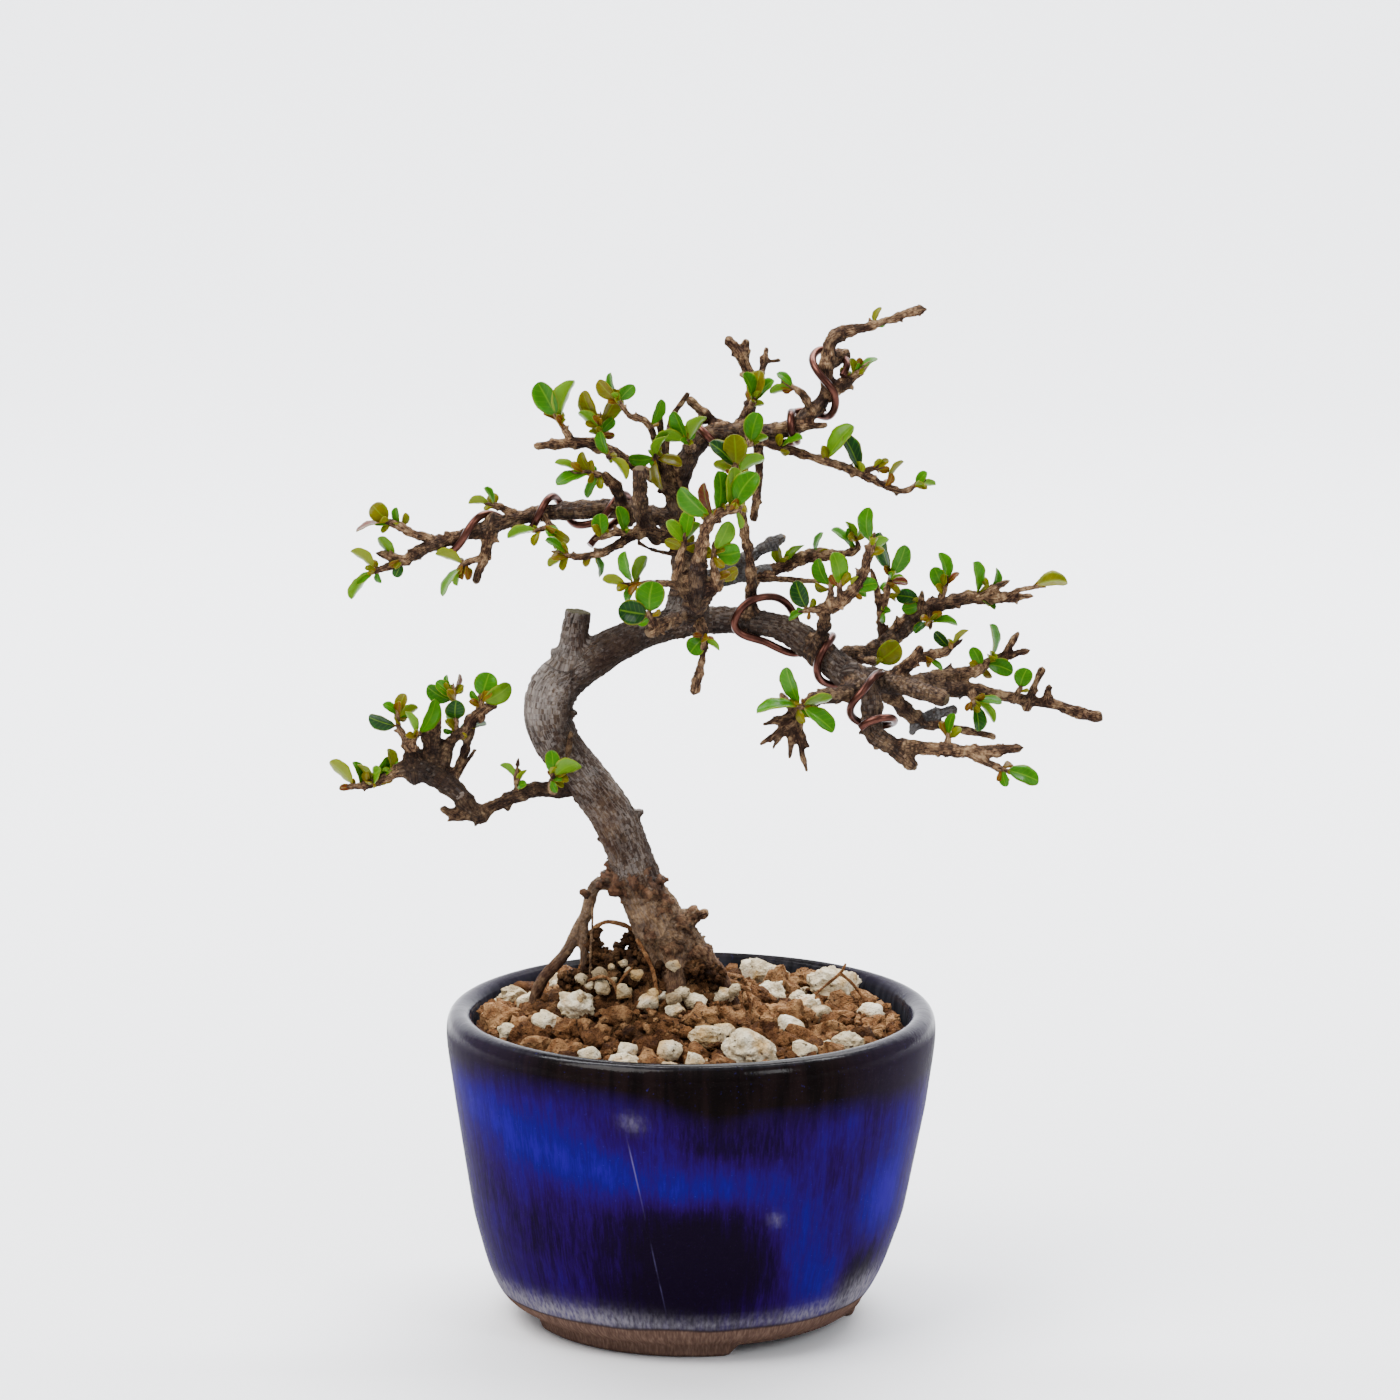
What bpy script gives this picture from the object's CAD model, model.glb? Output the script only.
"""A wall cotoneaster grown as a small bonsai in a round blue glazed pot, dressed over its fixed frame."""

from __future__ import annotations

import logging
import math
import random
from dataclasses import dataclass, field
from enum import Enum
from typing import Callable, Iterable, Sequence

import bpy
import numpy as np
from mathutils import Matrix, Vector, kdtree, noise

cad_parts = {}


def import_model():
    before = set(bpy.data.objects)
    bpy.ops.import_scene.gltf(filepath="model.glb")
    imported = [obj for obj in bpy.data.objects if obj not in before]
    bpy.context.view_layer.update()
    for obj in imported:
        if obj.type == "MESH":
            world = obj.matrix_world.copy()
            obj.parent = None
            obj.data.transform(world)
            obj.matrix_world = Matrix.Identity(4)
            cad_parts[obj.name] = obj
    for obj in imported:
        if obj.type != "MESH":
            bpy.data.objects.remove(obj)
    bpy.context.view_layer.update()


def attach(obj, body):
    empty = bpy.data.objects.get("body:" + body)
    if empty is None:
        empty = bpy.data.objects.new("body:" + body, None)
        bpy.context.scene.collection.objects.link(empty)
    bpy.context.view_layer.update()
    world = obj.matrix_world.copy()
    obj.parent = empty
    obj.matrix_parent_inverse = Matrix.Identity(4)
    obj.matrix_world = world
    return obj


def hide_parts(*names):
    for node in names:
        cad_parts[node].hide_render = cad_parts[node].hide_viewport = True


LOG = logging.getLogger("cotoneaster")

MM = 0.001
FULL_TURN = 2 * math.pi
POT_AXIS = Vector((-4.2, 0.0, 0.0))
EYE = Vector((0.0, -921.8, 287.8))
SKY = Vector((-0.45, -0.3, 0.84)).normalized()
UP = Vector((0.0, 0.0, 1.0))

Point = tuple[float, ...]
Limb = list[Point]
Run = tuple[list[Vector], list[float]]
Rows = dict[str, list]
Shape = tuple[np.ndarray, list]
Colour = tuple[float, float, float, float]
Thing = bpy.types.Object
Material = bpy.types.Material
Socket = bpy.types.NodeSocket

# Readings from the photograph


class Tint(Enum):
    """The colour families of the leaves, each with its place on the leaf material's tint scale."""

    DARK = 0.05
    GREEN = 0.3
    PALE = 0.5
    OLIVE = 0.72
    RED = 0.97


TINT_LETTERS = {"d": Tint.DARK, "b": Tint.GREEN, "p": Tint.PALE, "o": Tint.OLIVE, "r": Tint.RED}


@dataclass(frozen=True)
class Spray:
    """A leafy twig: its stems, and its leaves as [base x, z, tip x, z, seen width, depth] in millimetres.

    The letters give each leaf's tint in the order of the leaves.
    """

    name: str
    tints: str
    stems: list[Limb]
    leaves: list[Point]


@dataclass(frozen=True)
class Coil:
    """A training wire: the wood that it winds round, its hand, and its turns.

    Each turn is [distance along the wood, turns made, slack between wood and wire].
    """

    name: str
    host: Limb
    hand: int
    turns: list[Point]


TRUNK: Limb = [
    (-2.5, 49, 1, 4.6), (-3, 58, 1, 6), (-3.2, 64, 0, 5.9), (-4.6, 70, 0, 5.3), (-6.6, 75, 0, 5),
    (-9, 79.5, 0, 4.4), (-12.2, 89, -1, 4.1), (-14.5, 94, -1, 4.1), (-18, 99, -1, 4.1),
    (-22, 104, -1, 4.1), (-25, 108.5, -1, 4.3), (-26, 112.5, -1, 4.5), (-25.3, 116.5, -0.5, 4.6),
    (-22.6, 119.8, 0, 4.3), (-17.6, 123, 0, 3.7), (-12.2, 126, 0, 3.3), (-7, 128.2, 0, 3),
    (-2, 129.4, 0, 2.9),
]
TRUNK_STUB: Limb = [
    (-22.2, 122, 0, 3), (-21.3, 126, 0, 2.6), (-20.4, 131.6, 0, 2.45),
]
RIGHT_MAIN: Limb = [
    (-4, 129, 0, 2.9), (4, 129.9, -1, 2.6), (13, 129.3, -4, 2.4), (17, 128.2, -5, 2.6),
    (20.5, 126.2, -6.5, 2.8), (27.5, 120.6, -10, 2.8), (31, 118.6, -12, 2.6),
]
APEX: Limb = [
    (-3, 130.2, 1, 2.4), (-2, 133, 3, 2.6), (-1.3, 138, 4, 2.4), (-1.6, 144, 5, 2.3),
    (-2.5, 153.5, 5, 2.2), (-1, 158, 5, 2), (0.5, 162, 5, 1.9),
]
UPPER_RIGHT: Limb = [
    (-0.5, 160, 5, 1.8), (4, 164.2, 5, 1.7), (12, 164, 5, 1.7), (18.8, 165.2, 5, 1.6),
    (21, 167.2, 5, 1.6), (23.4, 169.6, 5, 1.5), (24.5, 172.5, 5.5, 1.3), (24.8, 179.2, 6, 1.3),
    (26, 181.6, 6, 1.4), (28, 182.4, 6, 1.3),
]
LOW_LEFT: Limb = [
    (-18, 100, -1, 2), (-23.5, 98.6, -1.5, 1.8), (-29.5, 98.2, -2, 1.5), (-36, 95.4, -2, 1.3),
    (-39.2, 93.8, -2, 1.7), (-42.8, 98.2, -2, 1.9), (-48, 101.8, -1, 2.2), (-50.8, 102.6, -1, 2.2),
    (-52.4, 102.3, -1, 1.8),
]
UPPER_LEFT: Limb = [
    (-2, 148.2, 5, 2), (-9, 149.4, 5, 1.9), (-13, 150.2, 5, 1.9), (-21, 150, 4, 1.8),
    (-29, 149, 4, 1.5), (-36.5, 147, 4, 1.5), (-43.5, 144.6, 4, 1.3), (-46.5, 143.8, 4, 1.5),
    (-49, 142.6, 4, 1.3), (-51, 141.3, 4, 1.2),
]
LOW_RIGHT: Limb = [
    (30, 119.4, -12, 2.4), (34.5, 118.6, -11, 2.2), (42, 117.6, -6, 1.8), (50, 117, -2, 1.5),
    (58, 115.6, -1, 1.1), (66, 114.3, -1, 1), (70, 112.9, -1, 1.15), (74, 112, -1, 1.2),
]
FRONT_DOWN: Limb = [
    (30.5, 119.4, -12, 2), (32.8, 115.5, -17, 2), (33.2, 109.3, -20, 1.9), (35.8, 107.2, -21, 1.7),
    (40.2, 103.3, -22, 1.4),
]
RIGHT_MIDDLE: Limb = [
    (25, 122, -8, 1.7), (29, 123.8, -3, 1.5), (32.5, 123.9, 1, 1.6), (38, 128, 4, 1.9),
    (41, 130.6, 5, 1.6), (44.5, 132.6, 5, 1.4), (50.5, 134, 5, 1.4),
]
ROOTS: list[Limb] = [
    [(-10.5, 80, 1, 1.8), (-15.5, 81, 1.5, 1.4), (-17.8, 80, 2, 1.2), (-19.2, 75.2, 2, 1.2),
     (-20.3, 73, 2, 1.3), (-23.2, 67.6, 2, 1.15), (-27.5, 62.4, 2, 1.2), (-30, 55, 2, 1)],
    [(-19.8, 74, 1.8, 1), (-19.6, 66.5, 1, 0.95), (-20, 53, 1, 0.8)],
    [(-2, 71, -1, 3.4), (3.5, 65, -2, 2.3), (6.5, 61, -3, 1.5), (9.5, 55, -4, 0.9)],
    [(-3, 68, -2, 3), (-3, 63, -6, 2.2), (-2, 55, -10, 1.4)],
    [(-5.5, 68, -1, 2.4), (-8, 63, -3, 1.5), (-9, 54, -5, 0.9)],
    [(-4, 68, 1, 3.4), (-5, 62, 6, 2.4), (-6, 54, 11, 1.5)],
]
BARE_WOOD: list[Limb] = [
    [(-1.5, 74, -1, 2.2), (2.4, 75.2, -1, 1)],
    [(-50.6, 102, -1, 1.9), (-51.2, 106.5, -1, 1.3)],
    [(-47, 101.6, 0, 1.9), (-47, 106.5, 0, 1.7), (-46.4, 109.5, 0, 1.2), (-45.7, 112.6, 0, 0.5)],
    [(-47.3, 105.4, 0, 1.3), (-49, 109.6, 0, 0.7)],
    [(-45.8, 102.6, 0, 1.7), (-43.8, 107.4, 1, 1.2), (-41.2, 109.4, 1, 1.1), (-39.6, 111.8, 1, 1.2),
     (-37.6, 113.4, 1, 1.2), (-35.6, 113.9, 1, 0.6)],
    [(-43.6, 99.6, -1, 1.1), (-42, 103.5, 1, 1), (-39.8, 110, 1.5, 0.8)],
    [(-36, 147.4, 4, 1.4), (-36.9, 143.4, 3.5, 1.2), (-38.9, 137.4, 2.5, 0.95)],
    [(-0.5, 143, 3, 1.8), (-5.5, 145.6, -2, 1.3), (-9.5, 145.9, -4, 1.3), (-13, 143.9, -5, 1)],
    [(-2, 152.6, 5, 1.6), (-6.5, 156, 3, 1.2), (-12.5, 159.6, 2.5, 1.1), (-15.5, 161.3, 2, 1.2),
     (-19, 162.3, 2, 1.2), (-27.6, 161.7, 2, 0.85)],
    [(-6.6, 145.6, -2, 1.5), (-8.9, 149, -4, 1.6), (-9.2, 156.7, -6, 1.5)],
    [(-11.8, 149, 3, 1.5), (-13.5, 154.3, 0, 1.2), (-15.4, 156.2, 0, 1)],
    [(-4.8, 154.4, 4, 1.1), (-5.2, 158, 2, 0.9), (-5.3, 162, 1, 0.8), (-5.6, 168.3, 1, 0.7)],
    [(-3, 155, 4.4, 1), (-4.4, 161, 4, 0.7), (-3.4, 166.6, 4, 0.7), (-0.6, 171.1, 4, 0.6)],
    [(10.6, 128.6, -3, 1.6), (10.9, 138.5, -4, 1.05), (9.4, 148, -3.5, 1), (8.9, 152.4, -3.4, 0.9)],
    [(12, 163.4, 4, 1.2), (12.3, 157, 3, 0.9), (11.4, 148.6, 2, 0.9)],
    [(-0.5, 135.4, 3, 1.8), (6, 139, 4, 1.4), (16.2, 144.8, 5, 1.25)],
    [(-0.5, 135.4, 4, 1.9), (6, 137.6, 7, 1.6), (14, 138.9, 10, 1.4)],
    [(12, 137.8, 9, 1), (16.5, 137.4, 8, 0.7), (24, 136.9, 8, 0.5)],
    [(7.4, 163.6, 5.4, 1.3), (10.4, 168, 8, 1.2), (11.2, 171.5, 9, 1.3), (10.4, 175, 10, 1.2),
     (8.6, 178.8, 11, 1.1), (6.8, 180.7, 12, 1.1)],
    [(11.2, 171.2, 9, 1), (12.8, 175.4, 13, 0.8), (13.6, 179.2, 15, 0.6)],
    [(7, 164.2, 5, 1.2), (4, 166.4, 6, 1), (-0.1, 169.9, 7, 1)],
    [(24.7, 176.6, 6, 1.3), (27.6, 178.2, 8, 1.3)],
    [(0.5, 129.6, 0, 2.6), (0.8, 132, -9, 2.3), (1, 134.5, -14, 2.2), (1.3, 138, -17, 1.9),
     (1.6, 141.5, -19, 1.4)],
    [(0.6, 133.6, -13, 1.6), (-2.6, 138.4, -17, 1.1)],
    [(1.6, 133, -12, 1.6), (4.8, 137.2, -17, 1.3)],
    [(0.6, 130.6, -6, 1.9), (-4.5, 129.4, -15, 1.3), (-7.3, 127.8, -18, 1.2)],
    [(23, 123.4, -8.4, 1.8), (24, 128, -11, 1.4), (24.4, 131.4, -13, 1.3)],
    [(41, 118.2, -7, 1.7), (45.5, 119.4, -3, 1.5), (51.4, 120.4, -0.4, 1.2)],
    [(35, 118.8, -11, 2), (40, 117.4, -16, 1.8), (45.6, 115.5, -19, 1.7)],
    [(36, 119, -11, 1.6), (39.6, 121.6, -14, 1.2), (41.6, 124.3, -14, 1)],
    [(36.6, 106.6, -21, 1.5), (43, 106.2, -22.3, 1.3)],
    [(31, 118, -13, 1.8), (27, 116, -19, 1.5), (23.2, 115.6, -23, 1.5), (19.6, 112, -28, 1),
     (15.8, 109, -28, 0.8), (12.9, 107, -28, 0.4)],
    [(19.6, 112, -28, 0.9), (20.2, 106, -28, 0.7), (21.2, 102, -28, 0.4)],
    [(31.6, 118.2, -11, 1.9), (36.5, 115.6, -8, 1.4), (41.4, 111.4, -5, 1.6), (47.5, 110, -3, 0.8),
     (55, 108.4, -2, 0.75)],
]
KNOBS: Limb = [
    (-6.9, 79.6, -3.6, 1.9), (-4.6, 77.3, -3.4, 1.6), (-15.3, 82.3, -1, 1.7), (-9.5, 94.2, -1, 1.1),
    (-16.5, 89.2, -1, 0.9), (-21.4, 112.6, -2.6, 1), (-1, 73, -4, 1.4), (-24.6, 123.9, 0, 1.2),
    (-42, 97.4, -2.6, 1.5), (-13, 81.4, -3.2, 1.4), (-10.2, 80.8, -3.9, 1.5), (-8, 82.4, -3.4, 1.1),
    (-13.8, 79.4, -2.6, 1.5), (0.4, 75.4, -2.2, 1.4), (-1.8, 74.4, -3.6, 1.2), (-5.4, 81.6, -2, 1.2),
    (-17, 80.4, -1.4, 0.9), (-19.4, 79, -1.6, 1.1), (-23.4, 120.8, -3.2, 0.9), (-3.2, 68.6, -5, 1.6),
    (1.8, 68, -3.4, 1.8), (-7.5, 70.5, -5.2, 1),
]

FINE_WOOD: list[Limb] = [
    [(17, 164.9, 4, 1), (24.2, 165.5, 3, 0.6)],
    [(9.8, 176.4, 10.6, 0.9), (9.9, 180.4, 12, 0.8)],
    [(42, 111.6, -4.6, 1.3), (47.6, 113.4, -3, 1.1)],
    [(37, 127, 3.6, 1.2), (37.3, 130.6, 4, 0.35)],
    [(-40, 94.4, -2, 1.4), (-42.5, 93.6, -2, 1.1), (-45.2, 94.8, -2, 0.85)],
    [(61.4, 114.6, -1, 0.9), (62.6, 118, -1, 0.7), (63.8, 120.6, -1, 0.8)],
    [(64.2, 115, -1, 0.6), (65.2, 117.4, -1, 0.8)],
    [(13.4, 177, 14, 0.5), (15.9, 177.2, 15, 0.4)],
    [(41, 111.4, -5, 1.2), (40.4, 109.2, -5, 0.8)],
    [(33.5, 108, -20, 0.8), (33.8, 106.2, -20, 0.5)],
    [(-3.5, 142, 0, 0.45), (-7, 142.8, -1, 0.4), (-9.5, 144.1, -3, 0.4)],
    [(-41.6, 102.6, 0, 0.5), (-39.4, 105.8, -1, 0.4)],
    [(24.6, 170.8, 5, 1.2), (27.5, 173, 5, 1.3), (29.6, 174.6, 5, 0.9), (31, 175.8, 5, 0.5)],
    [(-18, 78, 1, 0.3), (-18.1, 74, 0, 0.3), (-18.4, 68, -1, 0.3), (-18.8, 60, -2, 0.3)],
    [(-22.5, 105, -4.5, 0.8), (-22.1, 107.4, -4.7, 0.7), (-21.8, 109.3, -4.9, 0.3)],
    [(18.6, 111.5, -28, 1), (18.4, 108, -28, 0.8), (18.1, 104.4, -28, 0.35)],
    [(18.8, 113, -28, 0.9), (17.6, 114.6, -28, 0.8), (16.6, 116, -28, 0.6)],
    [(18, 112, -28, 0.9), (15.8, 111.4, -28, 0.8), (13.4, 110.6, -28, 0.4)],
    [(18.4, 111.5, -28, 0.9), (20.2, 108.6, -28.4, 0.7), (21.6, 106.4, -28, 0.35)],
    [(18, 111.6, -28, 0.8), (16.2, 108.4, -27.4, 0.7), (15, 106.2, -27, 0.35)],
]

SPRAYS: list[Spray] = [
    Spray("left_tip", "obrbbop", [
        [(-53.4, 101.9, -1, 1.5), (-56, 100.6, -1, 1.1), (-58.8, 99.4, -1, 0.9), (-62, 99, -1, 0.7)],
    ], [
        (-61.4, 99.4, -66.3, 103.2, 2.4, -1.6), (-60.6, 99.6, -61.8, 103.6, 1.6, 0),
        (-59, 99.6, -60.8, 103, 1.4, -2.4), (-58.6, 99.6, -55.3, 104.6, 2.2, -2),
        (-57.4, 100.2, -53.5, 103.8, 2.4, 0.6), (-54.4, 101.8, -55.4, 106, 1.8, -0.4),
        (-58, 99.8, -56.4, 102.3, 1.8, -3.4),
    ]),
    Spray("left_first", "dboobb", [
        [(-51.3, 106.9, -1, 1.3), (-52.4, 108.6, 0, 0.8), (-53.2, 110.2, 1, 0.6),
         (-53.6, 112.8, 1, 0.5)],
        [(-51.3, 107.2, -1, 1.2), (-50, 108.5, -2, 0.7)],
    ], [
        (-53.3, 110, -58.7, 112, 2.7, 1), (-53.5, 112.4, -55.9, 114.4, 1.6, 0.6),
        (-53.4, 112.4, -52, 116.3, 2.2, 1.4), (-53, 111.4, -49.8, 114, 1.8, 0.4),
        (-50, 108, -52, 112.8, 1.6, -2.6), (-49.8, 108.4, -46.2, 115, 2.8, -2.6),
    ]),
    Spray("left_second", "bbbrdbd", [
        [(-43.6, 107.4, 1.4, 1), (-42.8, 110, 2, 0.7), (-43.1, 113.4, 2, 0.6), (-43.2, 117, 2, 0.5)],
    ], [
        (-43.2, 114.6, -48, 117.6, 3, 1.6), (-43.2, 115.4, -46.5, 118.4, 2.4, 2.8),
        (-43.2, 116.4, -44.4, 119.8, 1.1, 2), (-43.1, 116.6, -42.5, 120, 0.9, 1.6),
        (-42.8, 111, -42.7, 115, 3.8, 0.8), (-42.7, 109.6, -44.2, 112.6, 1.8, 2.6),
        (-42.6, 109.4, -37.2, 110, 1.8, 4),
    ]),
    Spray("left_third", "bpb", [
        [(-38.4, 112.8, 1, 1.1), (-38.2, 115.6, 1, 0.7)],
    ], [
        (-38.3, 115, -36.6, 120.2, 4.4, 0.6), (-38.1, 114.8, -32.8, 117.8, 3.4, 1.6),
        (-38.5, 114.4, -39.8, 117, 1.3, 1),
    ]),
    Spray("trunk_left", "bbo", [
        [(-25.2, 98.6, -3, 1), (-25.2, 100.8, -6.6, 0.7)],
    ], [
        (-25.3, 100.6, -25.3, 105.8, 2.8, -7), (-25, 100.6, -20.4, 103.6, 3.2, -8.4),
        (-25, 100.2, -23.4, 98.8, 1.1, -6),
    ]),
    Spray("low_left_middle", "bo", [
        [(-31.4, 98, -2, 0.9), (-31.8, 100.6, -2.6, 0.6), (-31.6, 103, -2.6, 0.3)],
    ], [
        (-31.7, 100.2, -34.8, 103.1, 1.3, -2.6), (-31.6, 99.6, -29.9, 102, 1, -2),
    ]),
    Spray("upper_left_end", "obbdb", [
        [(-51.9, 140.8, 4, 1.2), (-54, 139.9, 4, 0.9), (-57.6, 138.8, 4, 0.6)],
        [(-52, 140.9, 4, 0.9), (-55.8, 141.9, 5, 0.8)],
    ], [
        (-57, 138.8, -61.4, 142.8, 2, 3.4), (-57, 138.8, -60.4, 136.4, 1.5, 4.6),
        (-57, 138.4, -61, 133.2, 2, 3.6), (-52.4, 140.6, -53.6, 137.8, 2, 3),
        (-53.4, 141.2, -56.6, 145, 2, 4.6),
    ]),
    Spray("upper_left_first", "orb", [
        [(-46.6, 144.6, 4, 1.1), (-50, 145.6, 3.5, 0.95), (-53, 147.2, 3, 0.95), (-55, 148, 3, 0.7)],
    ], [
        (-54.4, 147.6, -57.6, 151, 3.6, 2.6), (-54.6, 147.6, -60.6, 146.4, 0.9, 3),
        (-52.6, 147, -53, 150.6, 1.4, 3),
    ]),
    Spray("upper_left_under", "opb", [
        [(-37.7, 141.2, 3, 0.9), (-39.9, 140.7, 2, 0.7), (-41.4, 139.8, 2, 0.6)],
    ], [
        (-41, 139.8, -46.2, 142.2, 2, 1.6), (-41, 139.8, -45, 134.2, 1.5, 1.4),
        (-41, 139.8, -42.4, 136.2, 1.2, 2.8),
    ]),
    Spray("upper_left_twig", "ob", [
        [(-31.6, 149.2, 4, 1), (-34.4, 150.6, 3, 0.7), (-36.4, 151, 2, 0.6)],
    ], [
        (-35.6, 150.8, -40.2, 151.4, 1.6, 1.6), (-35.8, 150.8, -37.6, 154, 1.2, 2.4),
    ]),
    Spray("upper_left_below", "bob", [
        [(-26.4, 149, 3, 0.9), (-25.6, 147.2, 1, 0.6), (-27.5, 146.4, 0, 0.5)],
    ], [
        (-27, 146.5, -33.2, 145, 1.8, -0.6), (-25.4, 147, -21.6, 144.8, 2.2, 0.2),
        (-25.8, 146.8, -24.6, 142.8, 1.2, -0.6),
    ]),
    Spray("apex_left_high", "bpb", [
        [(-21.4, 162.6, 2, 0.9), (-22.6, 164.6, 2, 0.7), (-24.2, 167, 1.5, 0.5)],
    ], [
        (-24, 166.2, -27.6, 173.2, 4.2, 0.8), (-23.8, 166.2, -20.8, 173.4, 3, 1.6),
        (-23.6, 165.6, -24.2, 169.5, 1.4, 3),
    ]),
    Spray("apex_left_middle", "oobb", [
        [(-16.6, 162, 2, 0.9), (-16.3, 166.6, 3, 0.5)],
    ], [
        (-16.4, 165.6, -19.6, 171.6, 3, 3), (-16.2, 165.6, -12.9, 171.4, 3, 4),
        (-16.4, 164.2, -20.1, 168, 2.2, 1.6), (-16.4, 164, -14, 166.8, 2, 2),
    ]),
    Spray("apex_thin", "obbb", [
        [(-5.9, 160.8, -0.2, 0.8), (-7.3, 165.2, -1, 0.7), (-9.2, 166.8, -1.4, 0.75),
         (-11.2, 167.4, -1.6, 0.55), (-13.6, 170.8, -2, 0.4)],
    ], [
        (-13.2, 169.8, -16.6, 173.7, 2.6, -2.6), (-13, 169.6, -10.2, 173, 2.6, -2),
        (-13.5, 170, -14.2, 175.1, 1.4, -1.4), (-7.4, 165, -5.2, 170.2, 2, -1.8),
    ]),
    Spray("apex_left_front", "bo", [
        [(-14.2, 160, 1, 1), (-14.8, 159.8, -1, 0.6)],
    ], [
        (-14.8, 159.4, -16.2, 164.4, 2.1, -1.4), (-14.6, 159.6, -11.4, 155.8, 1.8, -1),
    ]),
    Spray("apex_left_low", "obpb", [
        [(-15.2, 155.6, -0.6, 1), (-17, 156.6, -2, 0.8), (-20.4, 157, -2.6, 0.5)],
    ], [
        (-18, 156.4, -19.9, 160.6, 2, -2.4), (-17.6, 156.4, -24.2, 154.4, 2.2, -3.4),
        (-19.8, 156.8, -24.6, 158.6, 1.4, -2.6), (-16.2, 155.8, -18.4, 152.2, 1.6, -2.6),
    ]),
    Spray("middle_left_fork", "bb", [
        [(-10.8, 145.8, -4.6, 1), (-13.5, 145.8, -6, 0.8), (-16.4, 145, -7, 0.6)],
    ], [
        (-15.8, 144.9, -16.4, 149.4, 3.2, -7.4), (-12, 145.6, -13.1, 150.6, 2.2, -5.6),
    ]),
    Spray("middle_left_end", "bbo", [
        [(-13.6, 143.4, -5.2, 0.9), (-17, 142.1, -6, 0.9), (-20.5, 141.5, -6, 0.7),
         (-23.9, 142.2, -6, 0.4)],
    ], [
        (-17.6, 142, -16.3, 137.8, 1.3, -6.4), (-22.6, 141.8, -26.6, 144.2, 1.6, -6),
        (-22.4, 141.8, -25.6, 139.4, 1.6, -6.4),
    ]),
    Spray("front_left", "bdob", [
        [(-0.6, 136, -14, 1.1), (-5, 136.6, -15, 0.75), (-12, 136.4, -15, 0.5)],
    ], [
        (-10.6, 136.6, -11.6, 142.6, 2, -15.6), (-10.4, 136.6, -7.8, 141.4, 2.2, -14.6),
        (-11.6, 136.5, -16, 137.4, 1.9, -15.2), (-9.4, 136.4, -11.6, 133, 1.7, -15.4),
    ]),
    Spray("front_left_low", "bd", [
        [(-6.6, 128.4, -17.4, 1.1), (-7.4, 130.8, -19.6, 0.7)],
    ], [
        (-7, 130.4, -6.8, 137, 5.4, -20.2), (-7.4, 130.2, -13.2, 131.8, 4.6, -20.4),
    ]),
    Spray("hanging", "bb", [
        [(1.5, 130.6, -8.6, 1.1), (2.4, 126.5, -14, 0.9), (2.1, 123, -15, 0.7), (0.8, 117.2, -15, 1)],
    ], [
        (2.2, 127.6, -0.2, 123.7, 3.6, -16), (2.4, 126, 5.2, 124.4, 1.2, -15),
    ]),
    Spray("front_middle", "bpob", [
        [(-2.5, 138.6, -17.4, 1), (-1.6, 142, -18, 0.8), (-1, 145, -18.2, 0.6)],
    ], [
        (-0.9, 144.4, 0.2, 149.8, 2.6, -18.4), (-1.1, 144.2, -4.6, 147.8, 2.4, -18),
        (-1.4, 142.8, -4.6, 144.6, 2, -18.6), (-1, 143.8, 1.8, 147.5, 1.6, -16.8),
    ]),
    Spray("front_right", "bpoo", [
        [(4.7, 136.8, -17, 1.2), (4.2, 139.6, -18.4, 0.8), (4.3, 143.4, -19, 0.6)],
    ], [
        (4.2, 141.6, 9, 142.4, 4, -19.4), (4.3, 142.8, 7, 148, 3.2, -18.4),
        (4.2, 142.2, 1.6, 145.2, 2, -17.6), (4.9, 137.6, 8.4, 139.2, 2.2, -16.4),
    ]),
    Spray("front_top", "bbrpbb", [
        [(1.5, 141.2, -19, 1.2), (2.6, 146, -21, 1.2), (4.6, 149.2, -22, 1.2), (8, 150.2, -22, 0.9)],
    ], [
        (3.6, 148.6, -1.8, 154.2, 3.4, -22.4), (4.6, 149.6, 5, 157.2, 3.4, -21.6),
        (4, 149, 2.2, 155, 2, -20.6), (7.2, 150, 7.4, 157.8, 3.2, -21.4),
        (8, 150.2, 12, 156.8, 4.4, -22.6), (7.8, 150, 8.8, 146.6, 1.2, -22),
    ]),
    Spray("apex_front", "bpb", [
        [(0, 161, 3, 1), (-0.6, 162.4, -1.4, 0.7)],
    ], [
        (-0.8, 161.8, -2.4, 168.2, 2.6, -2.2), (-0.4, 162.2, 2.6, 166.6, 2.4, -3),
        (-0.8, 161.8, -6.4, 163.4, 2.4, -3),
    ]),
    Spray("apex_left_side", "bboo", [
        [(-6.2, 157.2, 1.6, 0.9), (-6.4, 159.6, -1.2, 0.6)],
    ], [
        (-6.6, 159.4, -11.2, 159.6, 2.4, -2), (-6.4, 159.4, -4.2, 163.4, 1.7, -3.4),
        (-6.2, 158.4, -1.6, 158.2, 2, -1.4), (-6.3, 158.6, -5.6, 153.8, 1.9, -1.8),
    ]),
    Spray("upper_right_front", "bb", [
        [(11, 163.4, 3.4, 1), (10.8, 162, -2.4, 0.7)],
    ], [
        (10.8, 161.8, 12.4, 167.9, 3.6, -3.6), (11, 161.8, 13.8, 163.6, 1.6, -2),
    ]),
    Spray("twig_top", "odob", [
        [(8.8, 153, -3.6, 0.9), (8.1, 157.6, -7, 0.7)],
    ], [
        (8.2, 156.8, 7.8, 163.9, 4.4, -8), (8, 157, 3.6, 162.4, 2.8, -7.4),
        (8, 156.2, 4.2, 158.8, 2, -6.4), (8.3, 155.8, 13.3, 159.6, 2.4, -7.2),
    ]),
    Spray("top_stub", "obb", [
        [(10.4, 167.4, 6.6, 1.1), (11.2, 169.6, 4.4, 0.7)],
    ], [
        (11.2, 169, 12.6, 175.4, 3.2, 4), (11, 169, 9, 174.8, 2.2, 3.4),
        (11.3, 169, 15.4, 173.2, 2.2, 4.6),
    ]),
    Spray("upper_right_knee", "bb", [
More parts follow.
